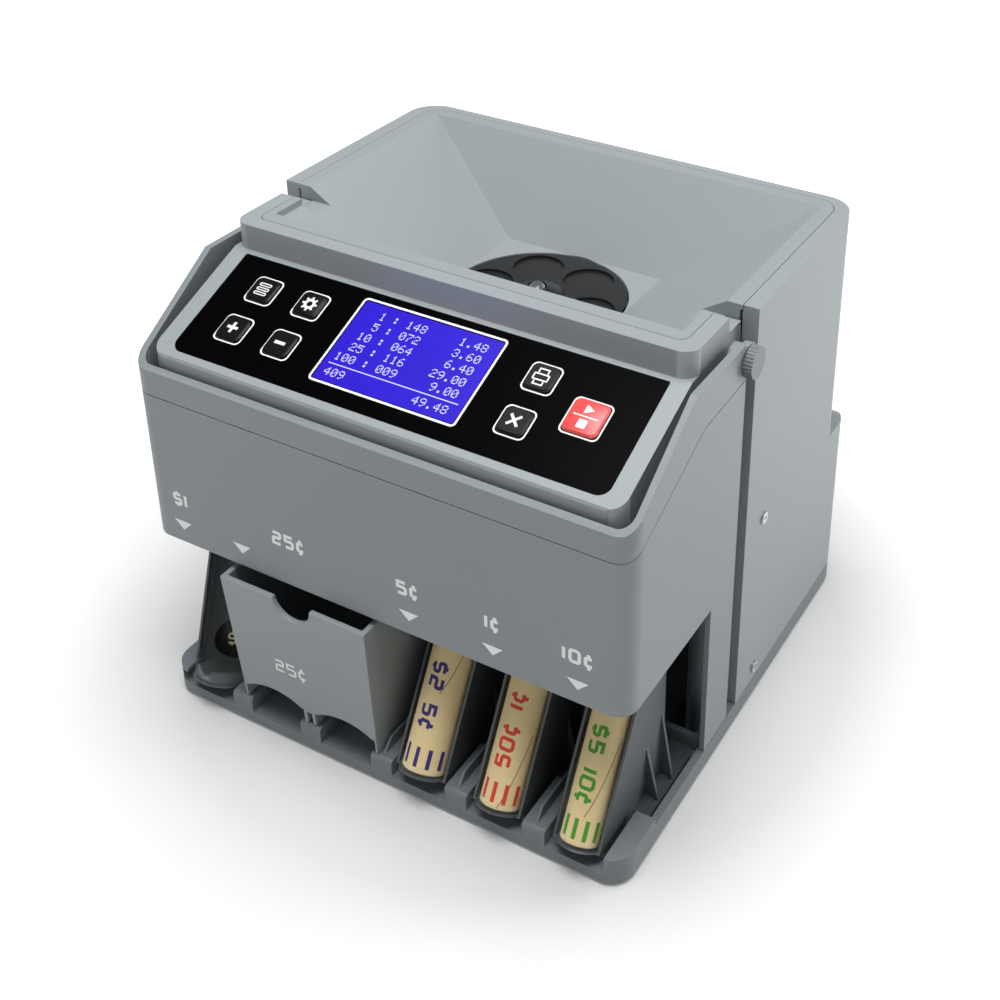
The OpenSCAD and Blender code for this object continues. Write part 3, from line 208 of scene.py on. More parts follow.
def moulded(name, colour, rough, spread, grain_mm, depth_mm, shift=0.035, patch_mm=70, sets=None):
    """An injection-moulded plastic: fine eroded grain, uneven gloss and slow colour drift."""
    material, tree, shader = new_finish(name, {"Base Color": colour, "Roughness": rough,
                                               "IOR": 1.54, **(sets or {})})
    place = add(tree, "ShaderNodeTexCoord").outputs["Object"]
    mottle(tree, shader, colour, place, shift, patch_mm)
    # a mould's grain is about 0.2 mm across, drawn 0.6 mm and more so that it shows
    grain = add(tree, "ShaderNodeTexNoise",
                {"Scale": 1 / (grain_mm * MM), "Detail": 2.0, "Roughness": 0.6}, {"Vector": place})
    gloss = add(tree, "ShaderNodeMapRange", {"To Min": rough - spread, "To Max": rough + spread},
                {"Value": grain.outputs["Fac"]})
    bump = add(tree, "ShaderNodeBump", {"Strength": 0.6, "Distance": depth_mm * MM},
               {"Height": grain.outputs["Fac"]})
    tree.links.new(gloss.outputs["Result"], shader.inputs["Roughness"])
    tree.links.new(bump.outputs["Normal"], shader.inputs["Normal"])
    return material


def brushed(name, code, rough, stretch, line_mm):
    """Worked metal: lines run along one axis, and the gloss changes across them."""
    colour = hex_linear(code)
    material, tree, shader = new_finish(name, {"Base Color": colour, "Metallic": 1.0,
                                               "Roughness": rough})
    place = add(tree, "ShaderNodeTexCoord").outputs["Object"]
    along = add(tree, "ShaderNodeMapping", {"Scale": stretch}, {"Vector": place})
    # tool and rolling lines are about 0.1 mm apart, drawn 0.5 mm and more so that they show
    lines = add(tree, "ShaderNodeTexNoise", {"Scale": 1 / (line_mm * MM), "Detail": 4.0},
                {"Vector": along.outputs["Vector"]})
    mottle(tree, shader, colour, place, shift=0.06, patch_mm=25)
    gloss = add(tree, "ShaderNodeMapRange", {"To Min": rough - 0.1, "To Max": rough + 0.12},
                {"Value": lines.outputs["Fac"]})
    bump = add(tree, "ShaderNodeBump", {"Strength": 0.35, "Distance": 0.02 * MM},
               {"Height": lines.outputs["Fac"]})
    tree.links.new(gloss.outputs["Result"], shader.inputs["Roughness"])
    tree.links.new(bump.outputs["Normal"], shader.inputs["Normal"])
    return material


def printed(name, code, rough=0.45, speck=0.04):
    """Screen or pad printing ink: nearly flat colour with a slight pinholed unevenness."""
    colour = hex_linear(code)
    material, tree, shader = new_finish(name, {"Base Color": colour, "Roughness": rough,
                                               "IOR": 1.5})
    place = add(tree, "ShaderNodeTexCoord").outputs["Object"]
    # pinholes are about 0.1 mm across, drawn 0.6 mm so that they show
    mottle(tree, shader, colour, place, shift=speck, patch_mm=0.6)
    return material


def kraft_paper(name, code):
    """Unbleached kraft paper, rolled: short fibres, faint cross wrinkles and no gloss."""
    colour = hex_linear(code)
    material, tree, shader = new_finish(name, {
        "Base Color": colour, "Roughness": 0.82, "IOR": 1.45, "Sheen Weight": 0.12,
        "Sheen Roughness": 0.6})
    place = add(tree, "ShaderNodeTexCoord").outputs["Object"]
    fibre_way = add(tree, "ShaderNodeMapping", {"Scale": (1, 1, 0.22)}, {"Vector": place})
    # fibres are about 0.05 mm wide, drawn 0.5 mm so that they show
    fibre = add(tree, "ShaderNodeTexNoise",
                {"Scale": 1 / (0.5 * MM), "Detail": 5.0, "Roughness": 0.7},
                {"Vector": fibre_way.outputs["Vector"]})
    wrinkle = add(tree, "ShaderNodeTexNoise",
                  {"Scale": 1 / (9 * MM), "Detail": 2.0, "Distortion": 0.4}, {"Vector": place})
    tone = add(tree, "ShaderNodeMix", {"data_type": "RGBA", 6: shaded(colour, 0.84),
                                       7: shaded(colour, 1.1)}, {0: fibre.outputs["Fac"]})
    tree.links.new(tone.outputs[2], shader.inputs["Base Color"])
    height = add(tree, "ShaderNodeMath", {"operation": "MULTIPLY_ADD", 1: 0.15},
                 {0: fibre.outputs["Fac"], 2: wrinkle.outputs["Fac"]})
    bump = add(tree, "ShaderNodeBump", {"Strength": 0.7, "Distance": 0.35 * MM},
               {"Height": height.outputs[0]})
    tree.links.new(bump.outputs["Normal"], shader.inputs["Normal"])
    return material


def display_film(name, code, glow):
    """The lit blue field of a liquid-crystal display behind its polariser."""
    colour = hex_linear(code)
    material, tree, shader = new_finish(name, {
        "Base Color": hex_linear("100A48"), "Roughness": 0.22, "IOR": 1.5,
        "Emission Strength": glow})
    place = add(tree, "ShaderNodeTexCoord").outputs["Object"]
    # the backlight's lamps stand about 14 mm apart, and the field is a little brighter over each
    glare = add(tree, "ShaderNodeTexNoise", {"Scale": 1 / (14 * MM), "Detail": 2.0},
                {"Vector": place})
    tone = add(tree, "ShaderNodeMix", {"data_type": "RGBA", 6: shaded(colour, 0.86),
                                       7: shaded(colour, 1.08)}, {0: glare.outputs["Fac"]})
    tree.links.new(tone.outputs[2], shader.inputs["Emission Color"])
    return material


def clear_plastic(name, code):
    """Extruded clear plastic: see-through, with a soft haze from handling."""
    material, tree, shader = new_finish(name, {
        "Base Color": hex_linear(code), "Roughness": 0.06, "IOR": 1.49,
        "Transmission Weight": 0.75, "Alpha": 0.11})
    place = add(tree, "ShaderNodeTexCoord").outputs["Object"]
    # finger marks are 10 to 15 mm across
    haze = add(tree, "ShaderNodeTexNoise", {"Scale": 1 / (12 * MM), "Detail": 4.0},
               {"Vector": place})
    gloss = add(tree, "ShaderNodeMapRange", {"To Min": 0.02, "To Max": 0.16},
                {"Value": haze.outputs["Fac"]})
    tree.links.new(gloss.outputs["Result"], shader.inputs["Roughness"])
    return material


# ---------------------------------------------------------------- flat relief shapes

def rounded_loop(x0, x1, y0, y1, r, steps=6):
    """Points round a rectangle with round corners, anticlockwise."""
    loop = []
    for cx, cy, start in ((x1 - r, y0 + r, -90), (x1 - r, y1 - r, 0),
                          (x0 + r, y1 - r, 90), (x0 + r, y0 + r, 180)):
        for k in range(steps + 1):
            a = math.radians(start + 90 * k / steps)
            loop.append((cx + r * math.cos(a), cy + r * math.sin(a)))
    return loop


def circle_loop(cx, cy, r):
    """Points round a circle, anticlockwise."""
    turns = [math.radians(360 * k / CIRCLE_STEPS) for k in range(CIRCLE_STEPS)]
    return [(cx + r * math.cos(a), cy + r * math.sin(a)) for a in turns]


def stroke(points, width, closed=False, longest=None):
    """A line of even width with mitred corners, as ("strip", left points, right points, closed)."""
    if longest:
        fine = []
        for (ax, ay), (bx, by) in zip(points, points[1:] + (points[:1] if closed else [])):
            parts = max(1, math.ceil(math.hypot(bx - ax, by - ay) / longest))
            fine += [(ax + (bx - ax) * k / parts, ay + (by - ay) * k / parts)
                     for k in range(parts)]
        points = fine if closed else fine + [points[-1]]
    left, right = [], []
    count = len(points)
    for k in range(count):
        here = Vector(points[k])
        before = Vector(points[k - 1]) if closed or k else None
        after = Vector(points[(k + 1) % count]) if closed or k < count - 1 else None
        into = (here - before).normalized() if before is not None else None
        out = (after - here).normalized() if after is not None else None
        into = into or out
        out = out or into
        across = (Vector((-into.y, into.x)) + Vector((-out.y, out.x))).normalized()
        # a mitre reaches twice the half width at most
        reach = width / 2 / max(0.5, across.dot(Vector((-into.y, into.x))))
        left.append(here + across * reach)
        right.append(here - across * reach)
    return ("strip", left, right, closed)


def band(outer, inner):
    """A closed frame between two loops of equally many points."""
    return ("strip", outer, inner, True)


def fill(loop):
    """A filled outline."""
    return ("fill", loop, None, True)


def square_frame(x0, x1, y0, y1, outside, inside):
    """A frame round a rectangle, between two distances from it, each with its corner radius."""
    return band(*(rounded_loop(x0 - gap, x1 + gap, y0 - gap, y1 + gap, r)
                  for gap, r in (outside, inside)))


def moved(shapes, dx, dy, quarter_turns=0):
    """The same shapes turned in quarter turns and moved."""
    def shift(p):
        x, y = p
        for _ in range(quarter_turns):
            x, y = -y, x
        return (x + dx, y + dy)
    return [(kind, [shift(p) for p in one], [shift(p) for p in two] if two else None, closed)
            for kind, one, two, closed in shapes]


def relief(name, shapes, place, height, material, body):
    """Makes closed low solids from flat shapes; place(u, v, w) gives a point in millimetres."""
    verts, faces = [], []
    for order, (kind, one, two, closed) in enumerate(shapes):
        # shapes that cross each other get slightly different heights
        top = height + LAYER * (order % 3)
        base = len(verts)
        loops = [one] if kind == "fill" else [one, two]
        for w in (0, top):
            for loop in loops:
                verts += [place(p[0], p[1], w) for p in loop]
        n = len(one)
        if kind == "fill":
            faces.append([base + n + k for k in range(n)])
            faces.append([base + k for k in reversed(range(n))])
            faces += [[base + k, base + (k + 1) % n, base + n + (k + 1) % n, base + n + k]
                      for k in range(n)]
            continue
        low_a, low_b, high_a, high_b = base, base + n, base + 2 * n, base + 3 * n
        for k in range(n if closed else n - 1):
            j = (k + 1) % n
            faces.append([high_a + k, high_b + k, high_b + j, high_a + j])
            faces.append([low_a + k, low_a + j, low_b + j, low_b + k])
            faces.append([low_a + k, high_a + k, high_a + j, low_a + j])
            faces.append([low_b + k, low_b + j, high_b + j, high_b + k])
        if not closed:
            for k in (0, n - 1):
                faces.append([low_a + k, low_b + k, high_b + k, high_a + k])
    mesh = bpy.data.meshes.new(name)
    mesh.from_pydata([tuple(c * MM for c in v) for v in verts], [], faces)
    mesh.materials.append(material)
    clean(mesh)
    piece = bpy.data.objects.new(name, mesh)
    bpy.context.scene.collection.objects.link(piece)
    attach(piece, body)


def clean(mesh):
    """Merges a mesh's doubled points and turns its faces outward."""
    tool = bmesh.new()
    tool.from_mesh(mesh)
    bmesh.ops.remove_doubles(tool, verts=tool.verts, dist=POINT_MERGE * MM)
    bmesh.ops.recalc_face_normals(tool, faces=tool.faces)
    tool.to_mesh(mesh)
    tool.free()


# ---------------------------------------------------------------- surfaces to print on

def on_panel(u, v, w):
    """A point of the sloped panel: across, up the slope and out of it."""
    c, s = math.cos(PANEL_TILT), math.sin(PANEL_TILT)
    return PANEL_EDGE + Vector((u, v * c - w * s, v * s + w * c))


def on_cover(u, v, w):
    """A point of the cover's front face: across, up and out of it."""
    return Vector((u, COVER_FACE_Y - w, v))


def on_bin(u, v, w):
    """A point of the bin's leaning front face: across, up the lean and out of it."""
    lean = BIN_RISE.normalized()
    out = Vector((0, -lean.z, lean.y))
    return Vector((u, *BIN_FOOT)) + lean * v + out * w


def on_rocker(u, v, w):
    """A point of the rocker's hollow face, seen from behind: across, up and out of it."""
    x, y, z = ROCKER
    side = 1 if v > 0 else -1
    reach = abs(v) * math.cos(ROCKER_SLOPE)
    rise = abs(v) * math.sin(ROCKER_SLOPE)
    return Vector((x - u, y + ROCKER_HOLLOW + rise + w, z + side * reach))


def in_tube(bay, coin, u, v, w):
    """A point in a tube's own frame: across, up the tube and towards its back."""
    lean, axis = (DOLLAR_LEAN, DOLLAR_AXIS) if bay == 0 else (TUBE_LEAN, TUBE_AXIS)
    r = coin / 2 + PAPER + SLEEVE_GAP + SLEEVE_WALL
    c, s = math.cos(lean), math.sin(lean)
    z0 = TUBE_FOOT_Z + r * s + CHANNEL_FLOOR * c
    y0 = axis[0] + (z0 - axis[1]) * math.tan(lean)
    return Vector(((bay - BAYS_MIDDLE) * BAY_PITCH + u, y0 + w * c + v * s, z0 - w * s + v * c))


def raised(place, rise):
    """The same surface, raised by that much."""
    return lambda u, v, w: place(u, v, w + rise)


# ---------------------------------------------------------------- signs

# Each sign's width and its lines, on a grid of that height; True closes a line
GLYPH_HEIGHT = 6
GLYPH_GAP = 1.3
GLYPHS = {
    "0": (4.4, [([(1.1, 0), (3.3, 0), (4.1, 0.4), (4.4, 1.2), (4.4, 4.8), (4.1, 5.6), (3.3, 6),
                  (1.1, 6), (0.3, 5.6), (0, 4.8), (0, 1.2), (0.3, 0.4)], True)]),
    "1": (0.1, [([(0, 6), (0, 0)], False)]),
    "2": (4, [([(0, 6), (3.3, 6), (4, 5.4), (4, 3.8), (3.4, 3.2), (0.6, 3.2), (0, 2.6), (0, 0),
                (4, 0)], False)]),
    "5": (4, [([(4, 6), (0, 6), (0, 3.4), (3.3, 3.4), (4, 2.8), (4, 0.6), (3.3, 0),
                (0, 0)], False)]),
    "$": (3.8, [([(3.8, 5.6), (0.5, 5.6), (0, 5.1), (0, 3.5), (0.5, 3.0), (3.3, 3.0), (3.8, 2.5),
                  (3.8, 0.9), (3.3, 0.4), (0, 0.4)], False),
                ([(1.9, 7.1), (1.9, 5.7)], False), ([(1.9, 0.3), (1.9, -1.1)], False)]),
    "c": (3, [([(3, 4.6), (0.6, 4.6), (0, 4.0), (0, 1.2), (0.6, 0.6), (3, 0.6)], False),
              ([(1.5, 6.7), (1.5, 4.7)], False), ([(1.5, 0.5), (1.5, -1.5)], False)]),
    " ": (2.4, []),
}

# Rows of a dot-matrix display's characters, from the top
DOTS = {
    "0": "01110 10001 10011 10101 11001 10001 01110",
    "1": "00100 01100 00100 00100 00100 00100 01110",
    "2": "01110 10001 00001 00110 01000 10000 11111",
    "3": "01110 10001 00001 00110 00001 10001 01110",
    "4": "00010 00110 01010 10010 11111 00010 00010",
    "5": "11111 10000 11110 00001 00001 10001 01110",
    "6": "00110 01000 10000 11110 10001 10001 01110",
    "7": "11111 00001 00010 00100 01000 01000 01000",
    "8": "01110 10001 10001 01110 10001 10001 01110",
    "9": "01110 10001 10001 01111 00001 00010 01100",
    ".": "00000 00000 00000 00000 00000 01100 01100",
    ":": "00000 01100 01100 00000 01100 01100 00000",
}


def numerals(text, height, weight, longest=None):
    """Squared numerals and coin signs drawn with one even line, centred on the origin."""
    scale = (height - weight) / GLYPH_HEIGHT
    gap = GLYPH_GAP + weight / scale
    width = sum(GLYPHS[c][0] for c in text) + gap * (len(text) - 1)
    shapes, x = [], -width / 2
    for c in text:
        for points, closed in GLYPHS[c][1]:
            line = [((x + px) * scale, (py - GLYPH_HEIGHT / 2) * scale) for px, py in points]
            shapes.append(stroke(line, weight, closed, longest))
        x += GLYPHS[c][0] + gap
    return shapes


def dot_rows(text, x, y):
    """Digits of a dot-matrix display: every run of lit dots in a row becomes one bar."""
    shapes, step = [], DOT + DOT_GAP
    for place, c in enumerate(text):
        if c == " ":
            continue
        for row, line in enumerate(DOTS[c].split()):
            column = 0
            while column < DOT_COLUMNS:
                if line[column] == "0":
                    column += 1
                    continue
                end = column
                while end < DOT_COLUMNS and line[end] == "1":
                    end += 1
                x0 = x + (place * (DOT_COLUMNS + 1) + column) * step
                x1 = x0 + (end - column) * step - DOT_GAP
                y0 = y - row * step
                shapes.append(fill([(x0, y0 - DOT), (x1, y0 - DOT), (x1, y0), (x0, y0)]))
                column = end
    return shapes


def key_signs():
    """What each key shows, round its middle: coins, a wheel, a printer, run and halt and so on."""
    stack = [band(rounded_loop(-3.6, 3.6, y, y + 1.9, 0.9),
                  rounded_loop(-3.0, 3.0, y + 0.55, y + 1.35, 0.35)) for y in (-3.6, -0.95, 1.7)]
    wheel = [band(circle_loop(0, 0, 3.0), circle_loop(0, 0, 1.5))]
    wheel += [stroke([(3.0 * math.cos(a), 3.0 * math.sin(a)),
                      (4.1 * math.cos(a), 4.1 * math.sin(a))], 1.1)
              for a in (math.radians(45 * k) for k in range(8))]
    plus = [stroke([(-3, 0), (3, 0)], 1.5), stroke([(0, -3), (0, 3)], 1.5)]
    minus = [stroke([(-3, 0), (3, 0)], 1.7)]
    printer = [band(rounded_loop(-4, 4, -2.2, 1.6, 0.6), rounded_loop(-3.3, 3.3, -1.5, 0.9, 0.3)),
               stroke([(-2.3, 1.9), (-2.3, 4.0), (2.3, 4.0), (2.3, 1.9)], 0.7),
               stroke([(-2.3, -2.5), (-2.3, -4.3), (2.3, -4.3), (2.3, -2.5)], 0.7)]
    cross = [stroke([(-2.7, -2.7), (2.7, 2.7)], 1.3), stroke([(-2.7, 2.7), (2.7, -2.7)], 1.3)]
    start = [fill([(-1.9, 1.3), (2.6, 3.7), (-1.9, 6.1)]), stroke([(-6, 0), (6, 0)], 0.6),
             fill(rounded_loop(-2.2, 2.2, -6.0, -1.6, 0.4))]
    return {"batch": stack, "set": wheel, "plus": plus, "minus": minus, "print": printer,
            "clear": cross, "start": start}


# ---------------------------------------------------------------- settings

class SorterFinish(bpy.types.PropertyGroup):
    housing: bpy.props.FloatVectorProperty(
        name="Housing", description="Grey of the rear housing, the head and the coin bin",
        subtype="COLOR", size=4, min=0, max=1, default=hex_linear("979EA1"))
    # its default grey is darker than the housing grey: painted shade for the front-facing cover,
    # which takes less light
    cover: bpy.props.FloatVectorProperty(
        name="Cover", description="Grey of the front cover",
        subtype="COLOR", size=4, min=0, max=1, default=hex_linear("888F93"))
    tubes: bpy.props.FloatVectorProperty(
        name="Tubes", description="Dark grey of the coin tubes",
        subtype="COLOR", size=4, min=0, max=1, default=hex_linear("505558"))
    start: bpy.props.FloatVectorProperty(
        name="Start key", description="Colour of the large key",
        subtype="COLOR", size=4, min=0, max=1, default=hex_linear("E4504E"))
    glow: bpy.props.FloatProperty(
        name="Display glow", description="Brightness of the lit display",
        default=0.72, min=0, max=3)
    ink: bpy.props.FloatProperty(
        name="Ink height", description="Height of the printing above its surface",
        default=0.05 * MM, min=0.02 * MM, max=0.1 * MM, unit="LENGTH", precision=5)
    edge: bpy.props.FloatProperty(
        name="Edge rounding", description="Radius of the moulded edges",
        default=0.5 * MM, min=0.2 * MM, max=1 * MM, unit="LENGTH", precision=5)
    label: bpy.props.FloatProperty(
        name="Label height", description="Height of the coin numbers on the cover",
        default=8 * MM, min=6 * MM, max=12 * MM, unit="LENGTH")


def settings():
    """The add-on's own settings."""
    return bpy.context.scene.sorter_finish


def finish_nodes(names, material):
    """Gives CAD nodes their material."""
    for name in names:
        node = NODES[name]
        node.data.materials.clear()
        node.data.materials.append(material)


def round_edges(names, width):
    """Cleans a node's flat faces as it is drawn and rounds its edges, as moulded ones are."""
    for name in names:
        node = NODES[name]
        weld = node.modifiers.new("weld", "WELD")
        weld.merge_threshold = EDGE_MERGE * MM
        plain = node.modifiers.new("plain", "DECIMATE")
        plain.decimate_type = "DISSOLVE"
        plain.angle_limit = FLAT_ANGLE
        bevel = node.modifiers.new("edge", "BEVEL")
        bevel.width = width
        bevel.segments = EDGE_STEPS
        bevel.limit_method = "ANGLE"
        bevel.angle_limit = EDGE_ANGLE
        bevel.use_clamp_overlap = True


# ---------------------------------------------------------------- operators

class SORTER_OT_housings(bpy.types.Operator):
    """Finish the rear housing, the head and the hopper"""
    bl_idname = "sorter.housings"
    bl_label = "Housings and hopper"

    def execute(self, context):
        grey = tuple(settings().housing)
        # ABS moulded in a spark-eroded tool: a fine matt grain that spreads the light evenly
        case = moulded("ABS_light_grey_spark_eroded_moulding", grey, rough=0.5, spread=0.07,
                       grain_mm=0.7, depth_mm=0.03)
        finish_nodes(["rear_housing", "head_housing"], case)
        # the hopper's tool is polished more, so coins slide: the same grey, smoother
        hopper = moulded("ABS_grey_smooth_moulding", grey, rough=0.40, spread=0.05,
                         grain_mm=1.1, depth_mm=0.02)
        finish_nodes(["hopper_funnel"], hopper)
        round_edges(["rear_housing", "head_housing", "hopper_funnel"], settings().edge)
        return {"FINISHED"}


class SORTER_OT_base(bpy.types.Operator):
    """Finish the base tray, its feet and the coin tubes"""
    bl_idname = "sorter.base"
    bl_label = "Base, feet and tubes"

    def execute(self, context):
        # ABS with a coarser eroded grain, which hides scuffs from the tubes
        tray = moulded("ABS_mid_grey_spark_eroded_moulding", hex_linear("777E82"), rough=0.5,
                       spread=0.08, grain_mm=0.8, depth_mm=0.04)
        finish_nodes(["base_tray", "pivot_screw_left", "pivot_screw_right"], tray)
        # darker ABS, semi-matt, rubbed by the sleeves
        tube = moulded("ABS_dark_grey_moulding", tuple(settings().tubes), rough=0.42, spread=0.08,
                       grain_mm=0.9, depth_mm=0.03)
        tubes = ["tube_dollar", "tube_nickel", "tube_penny", "tube_dime"]
        finish_nodes(tubes + ["chute_block"], tube)
        # rubber feet, belts and rollers: matt, nearly black, with a dusty bloom
        rubber = moulded("Rubber_black_compression_moulded", hex_linear("1B1B1C"), rough=0.78,
                         spread=0.08, grain_mm=0.6, depth_mm=0.05, shift=0.15)
        finish_nodes(["rubber_feet", "drive_belt", "transport_belt", "drive_roller",
                      "idler_roller"], rubber)
        # thin clear acrylic: hardly seen but for its edges and finger marks
        clear = clear_plastic("Acrylic_clear_extruded", "F6FAFB")
        finish_nodes(["sleeve_dollar", "sleeve_nickel", "sleeve_penny", "sleeve_dime"], clear)
        round_edges(["base_tray"] + tubes, settings().edge * THIN_WALL_SHARE)
        return {"FINISHED"}


class SORTER_OT_cover(bpy.types.Operator):
    """Finish the front cover and the coin bin"""
    bl_idname = "sorter.cover"
    bl_label = "Cover and bin"

    def execute(self, context):
        # ABS from a finer eroded tool: a soft sheen over a grain that is just felt
        # its grey, darker than the housings', is painted shade for the lesser light on the front
        # faces
        cover = moulded("ABS_grey_fine_eroded_moulding_painted_shade", tuple(settings().cover), rough=0.46,
                        spread=0.07, grain_mm=0.7, depth_mm=0.03)
        finish_nodes(["cover_band", "cover_skirt"], cover)
        # ABS from a satin tool: smoother, so that coins slide out, and a little glossier
        satin = moulded("ABS_grey_satin_moulding", tuple(settings().housing), rough=0.44,
                        spread=0.06, grain_mm=0.9, depth_mm=0.025)
        finish_nodes(["quarter_bin"], satin)
        round_edges(["cover_band", "cover_skirt", "quarter_bin"], settings().edge)
        return {"FINISHED"}


class SORTER_OT_panel(bpy.types.Operator):
    """Finish the control panel and print its key frames and signs"""
    bl_idname = "sorter.panel"
    bl_label = "Panel and keys"

    def execute(self, context):
        ink = settings().ink / MM
        # polyester film, printed black on its back: deep black, softly glossy
        film = moulded("Polyester_film_black_back_printed", hex_linear("040405"), rough=0.28,
                       spread=0.03, grain_mm=1.5, depth_mm=0.006, shift=0.2,
                       sets={"Specular IOR Level": 0.02})
        finish_nodes(["panel_overlay"], film)
        # key caps are moulded ABS with a light gloss, worn smooth at the top
        cap = moulded("ABS_black_gloss_moulding", hex_linear("0C0C0E"), rough=0.3, spread=0.05,
                      grain_mm=1.2, depth_mm=0.01, shift=0.15, sets={"Specular IOR Level": 0.22})
        finish_nodes(["key_batch", "key_set", "key_plus", "key_minus", "key_print", "key_clear"],
                     cap)
        # the large key is the same glossy ABS in coral red
        red = moulded("ABS_coral_red_gloss_moulding", tuple(settings().start), rough=0.3,
                      spread=0.05, grain_mm=1.2, depth_mm=0.01)
        finish_nodes(["key_start"], red)
        round_edges([f"key_{key}" for key in KEYS], settings().edge)
        # opaque screen ink: a clean white, barely glossy
        white = printed("Screen_ink_white", "F4F5F6")
        frames = [square_frame(x - size / 2, x + size / 2, y - size / 2, y + size / 2,
                               KEY_FRAME_OUT, KEY_FRAME_IN) for x, y, size in KEYS.values()]
        frames.append(square_frame(*DISPLAY, DISPLAY_FRAME_OUT, DISPLAY_FRAME_IN))
        relief("panel_frames_print", frames, on_panel, ink, white, "base")
        for key, shapes in key_signs().items():
            x, y, _ = KEYS[key]
            relief(f"sign_{key}", moved(shapes, x, y), raised(on_panel, KEY_RISE), ink, white,
                   f"key_{key}_cap")
        return {"FINISHED"}


class SORTER_OT_display(bpy.types.Operator):
    """Light the display and write its rows of digits"""
    bl_idname = "sorter.display"
    bl_label = "Display"

    def execute(self, context):
        # backlit liquid crystal: an even blue-violet glow
        blue = display_film("Liquid_crystal_display_blue_backlit", "3212F4", settings().glow)
        finish_nodes(["lcd_window"], blue)
        # lit dots: pale, and a little brighter than the field
        dot = hex_linear("8080C0")
        lit, tree, shader = new_finish("Liquid_crystal_display_lit_dots", {
            "Base Color": dot, "Roughness": 0.3, "Emission Strength": 0.8,
            "Emission Color": hex_linear("D6D0FF")})
        place = add(tree, "ShaderNodeTexCoord").outputs["Object"]
        mottle(tree, shader, dot, place, shift=0.05, patch_mm=4)
        left, _, _, top = DISPLAY
        shapes = []
        for k, (count, value) in enumerate(COUNT_ROWS):
            row = top - ROW_TOP - ROW_STEP * k
            shapes += dot_rows(count, left + COUNT_X, row)
            shapes += dot_rows(value.rjust(SUM_WIDTH), left + SUM_X, row)
        x0, x1, low, high = RULE
        shapes.append(fill(rounded_loop(left + x0, left + x1, top - low, top - high, RULE_ROUND,
                                        steps=1)))
        shapes += dot_rows(TOTALS[0], left + COUNT_X, top - TOTAL_TOP)
        shapes += dot_rows(TOTALS[1], left + SUM_X, top - TOTAL_TOP)
        relief("display_digits", shapes, raised(on_panel, DISPLAY_RISE), DOT_HEIGHT, lit, "base")
        return {"FINISHED"}


class SORTER_OT_labels(bpy.types.Operator):
    """Print the coin numbers and arrows on the cover and the bin"""
    bl_idname = "sorter.labels"
    bl_label = "Coin numbers"

    def execute(self, context):
        ink, height = settings().ink / MM, settings().label / MM
        # pad-printed ink: nearly white, matt, a little thin in places
        pale = printed("Pad_ink_white_on_grey", "FAFDFD")
        weight = height * LINE_SHARE
        shapes = []
        for text, x, arrow_x in COVER_SIGNS:
            shapes += moved(numerals(text, height, weight), x, NUMBER_Z)
            shapes.append(fill([(arrow_x - ARROW_HALF, ARROW_TOP), (arrow_x, ARROW_TIP),
                                (arrow_x + ARROW_HALF, ARROW_TOP)]))
        relief("cover_numbers_print", shapes, on_cover, ink, pale, "cover")
        number = moved(numerals("25c", height, weight * BIN_LINE_SHARE), *BIN_NUMBER)
        relief("bin_number_print", number, on_bin, ink, pale, "bin")
        return {"FINISHED"}


class SORTER_OT_wrappers(bpy.types.Operator):
    """Finish the paper wrappers and print their coloured marks"""
    bl_idname = "sorter.wrappers"
    bl_label = "Paper wrappers"

    def execute(self, context):
        # brown paper: dull and fibrous, with a cut edge that looks darker
        paper = kraft_paper("Kraft_paper_rolled", "FDE0A8")
        finish_nodes(["wrapper_nickel", "wrapper_penny", "wrapper_dime"], paper)
        cut = printed("Kraft_paper_cut_edge", "9A7747", rough=0.8)
        for coin, (bay, size, code, text, turns, start) in WRAPPERS.items():
            # thin flexographic ink that soaks in: matt and blotchy
            ink = printed(f"Flexo_ink_on_kraft_{coin}", code, rough=0.7, speck=0.15)
            r = size / 2 + PAPER

            def on_roll(u, v, w, bay=bay, size=size, r=r):
                a = u / r
                return in_tube(bay, size, (r + w) * math.sin(a), v + SLEEVE_WALL,
                               -(r + w) * math.cos(a))

            shapes = moved(numerals(text, VALUE_HEIGHT, VALUE_LINE, STEP), 0, VALUE_Z, turns)
            for k in range(BAR_COUNT):
                u = k * 2 * math.pi * r / BAR_COUNT
                shapes.append(stroke([(u - BAR_WIDTH / 2, BAR_Z), (u + BAR_WIDTH / 2, BAR_Z)],
                                     BAR_HEIGHT, longest=FINE_STEP))
            relief(f"wrapper_marks_{coin}", shapes, on_roll, WRAPPER_INK, ink, f"{coin}_holder")
            # the paper's outer edge runs up the roll in a slow spiral
            seam = [(share * r, start + rise) for share, rise in SEAM]
            relief(f"wrapper_seam_{coin}", [stroke(seam, SEAM_LINE, longest=STEP)], on_roll,
                   SEAM_RISE, cut, f"{coin}_holder")
        return {"FINISHED"}


class SORTER_OT_badge(bpy.types.Operator):
    """Stick the round badge on the back of the dollar channel"""
    bl_idname = "sorter.badge"
    bl_label = "Dollar badge"

    def execute(self, context):
        face = DOLLAR / 2 + PAPER + SLEEVE_GAP - BADGE_GAP

        def on_back(u, v, w):
            a = u / face + BADGE_TURN
            return in_tube(0, DOLLAR, (face - w) * math.sin(a), v + BADGE_Z,
                           (face - w) * math.cos(a))

        # vinyl label, laid round the inside of the clear sleeve: black, slightly glossy
        vinyl = printed("Vinyl_label_black", "0D0D0F", rough=0.4)
        rings = []
        for k in range(BADGE_RINGS):
            outer = BADGE_R - BADGE_RING * k
            rings.append(band(circle_loop(0, 0, outer),
                              circle_loop(0, 0, max(BADGE_HOLE, outer - BADGE_RING))))
        relief("dollar_badge", rings, on_back, BADGE_THICK, vinyl, "dollar_holder")
        # cream ink on the vinyl
        cream = printed("Screen_ink_cream", "E8DDBE")
        relief("dollar_badge_print", numerals("$1", BADGE_TEXT, BADGE_LINE, STEP),
               raised(on_back, BADGE_PRINT_RISE), settings().ink / MM, cream, "dollar_holder")
        return {"FINISHED"}


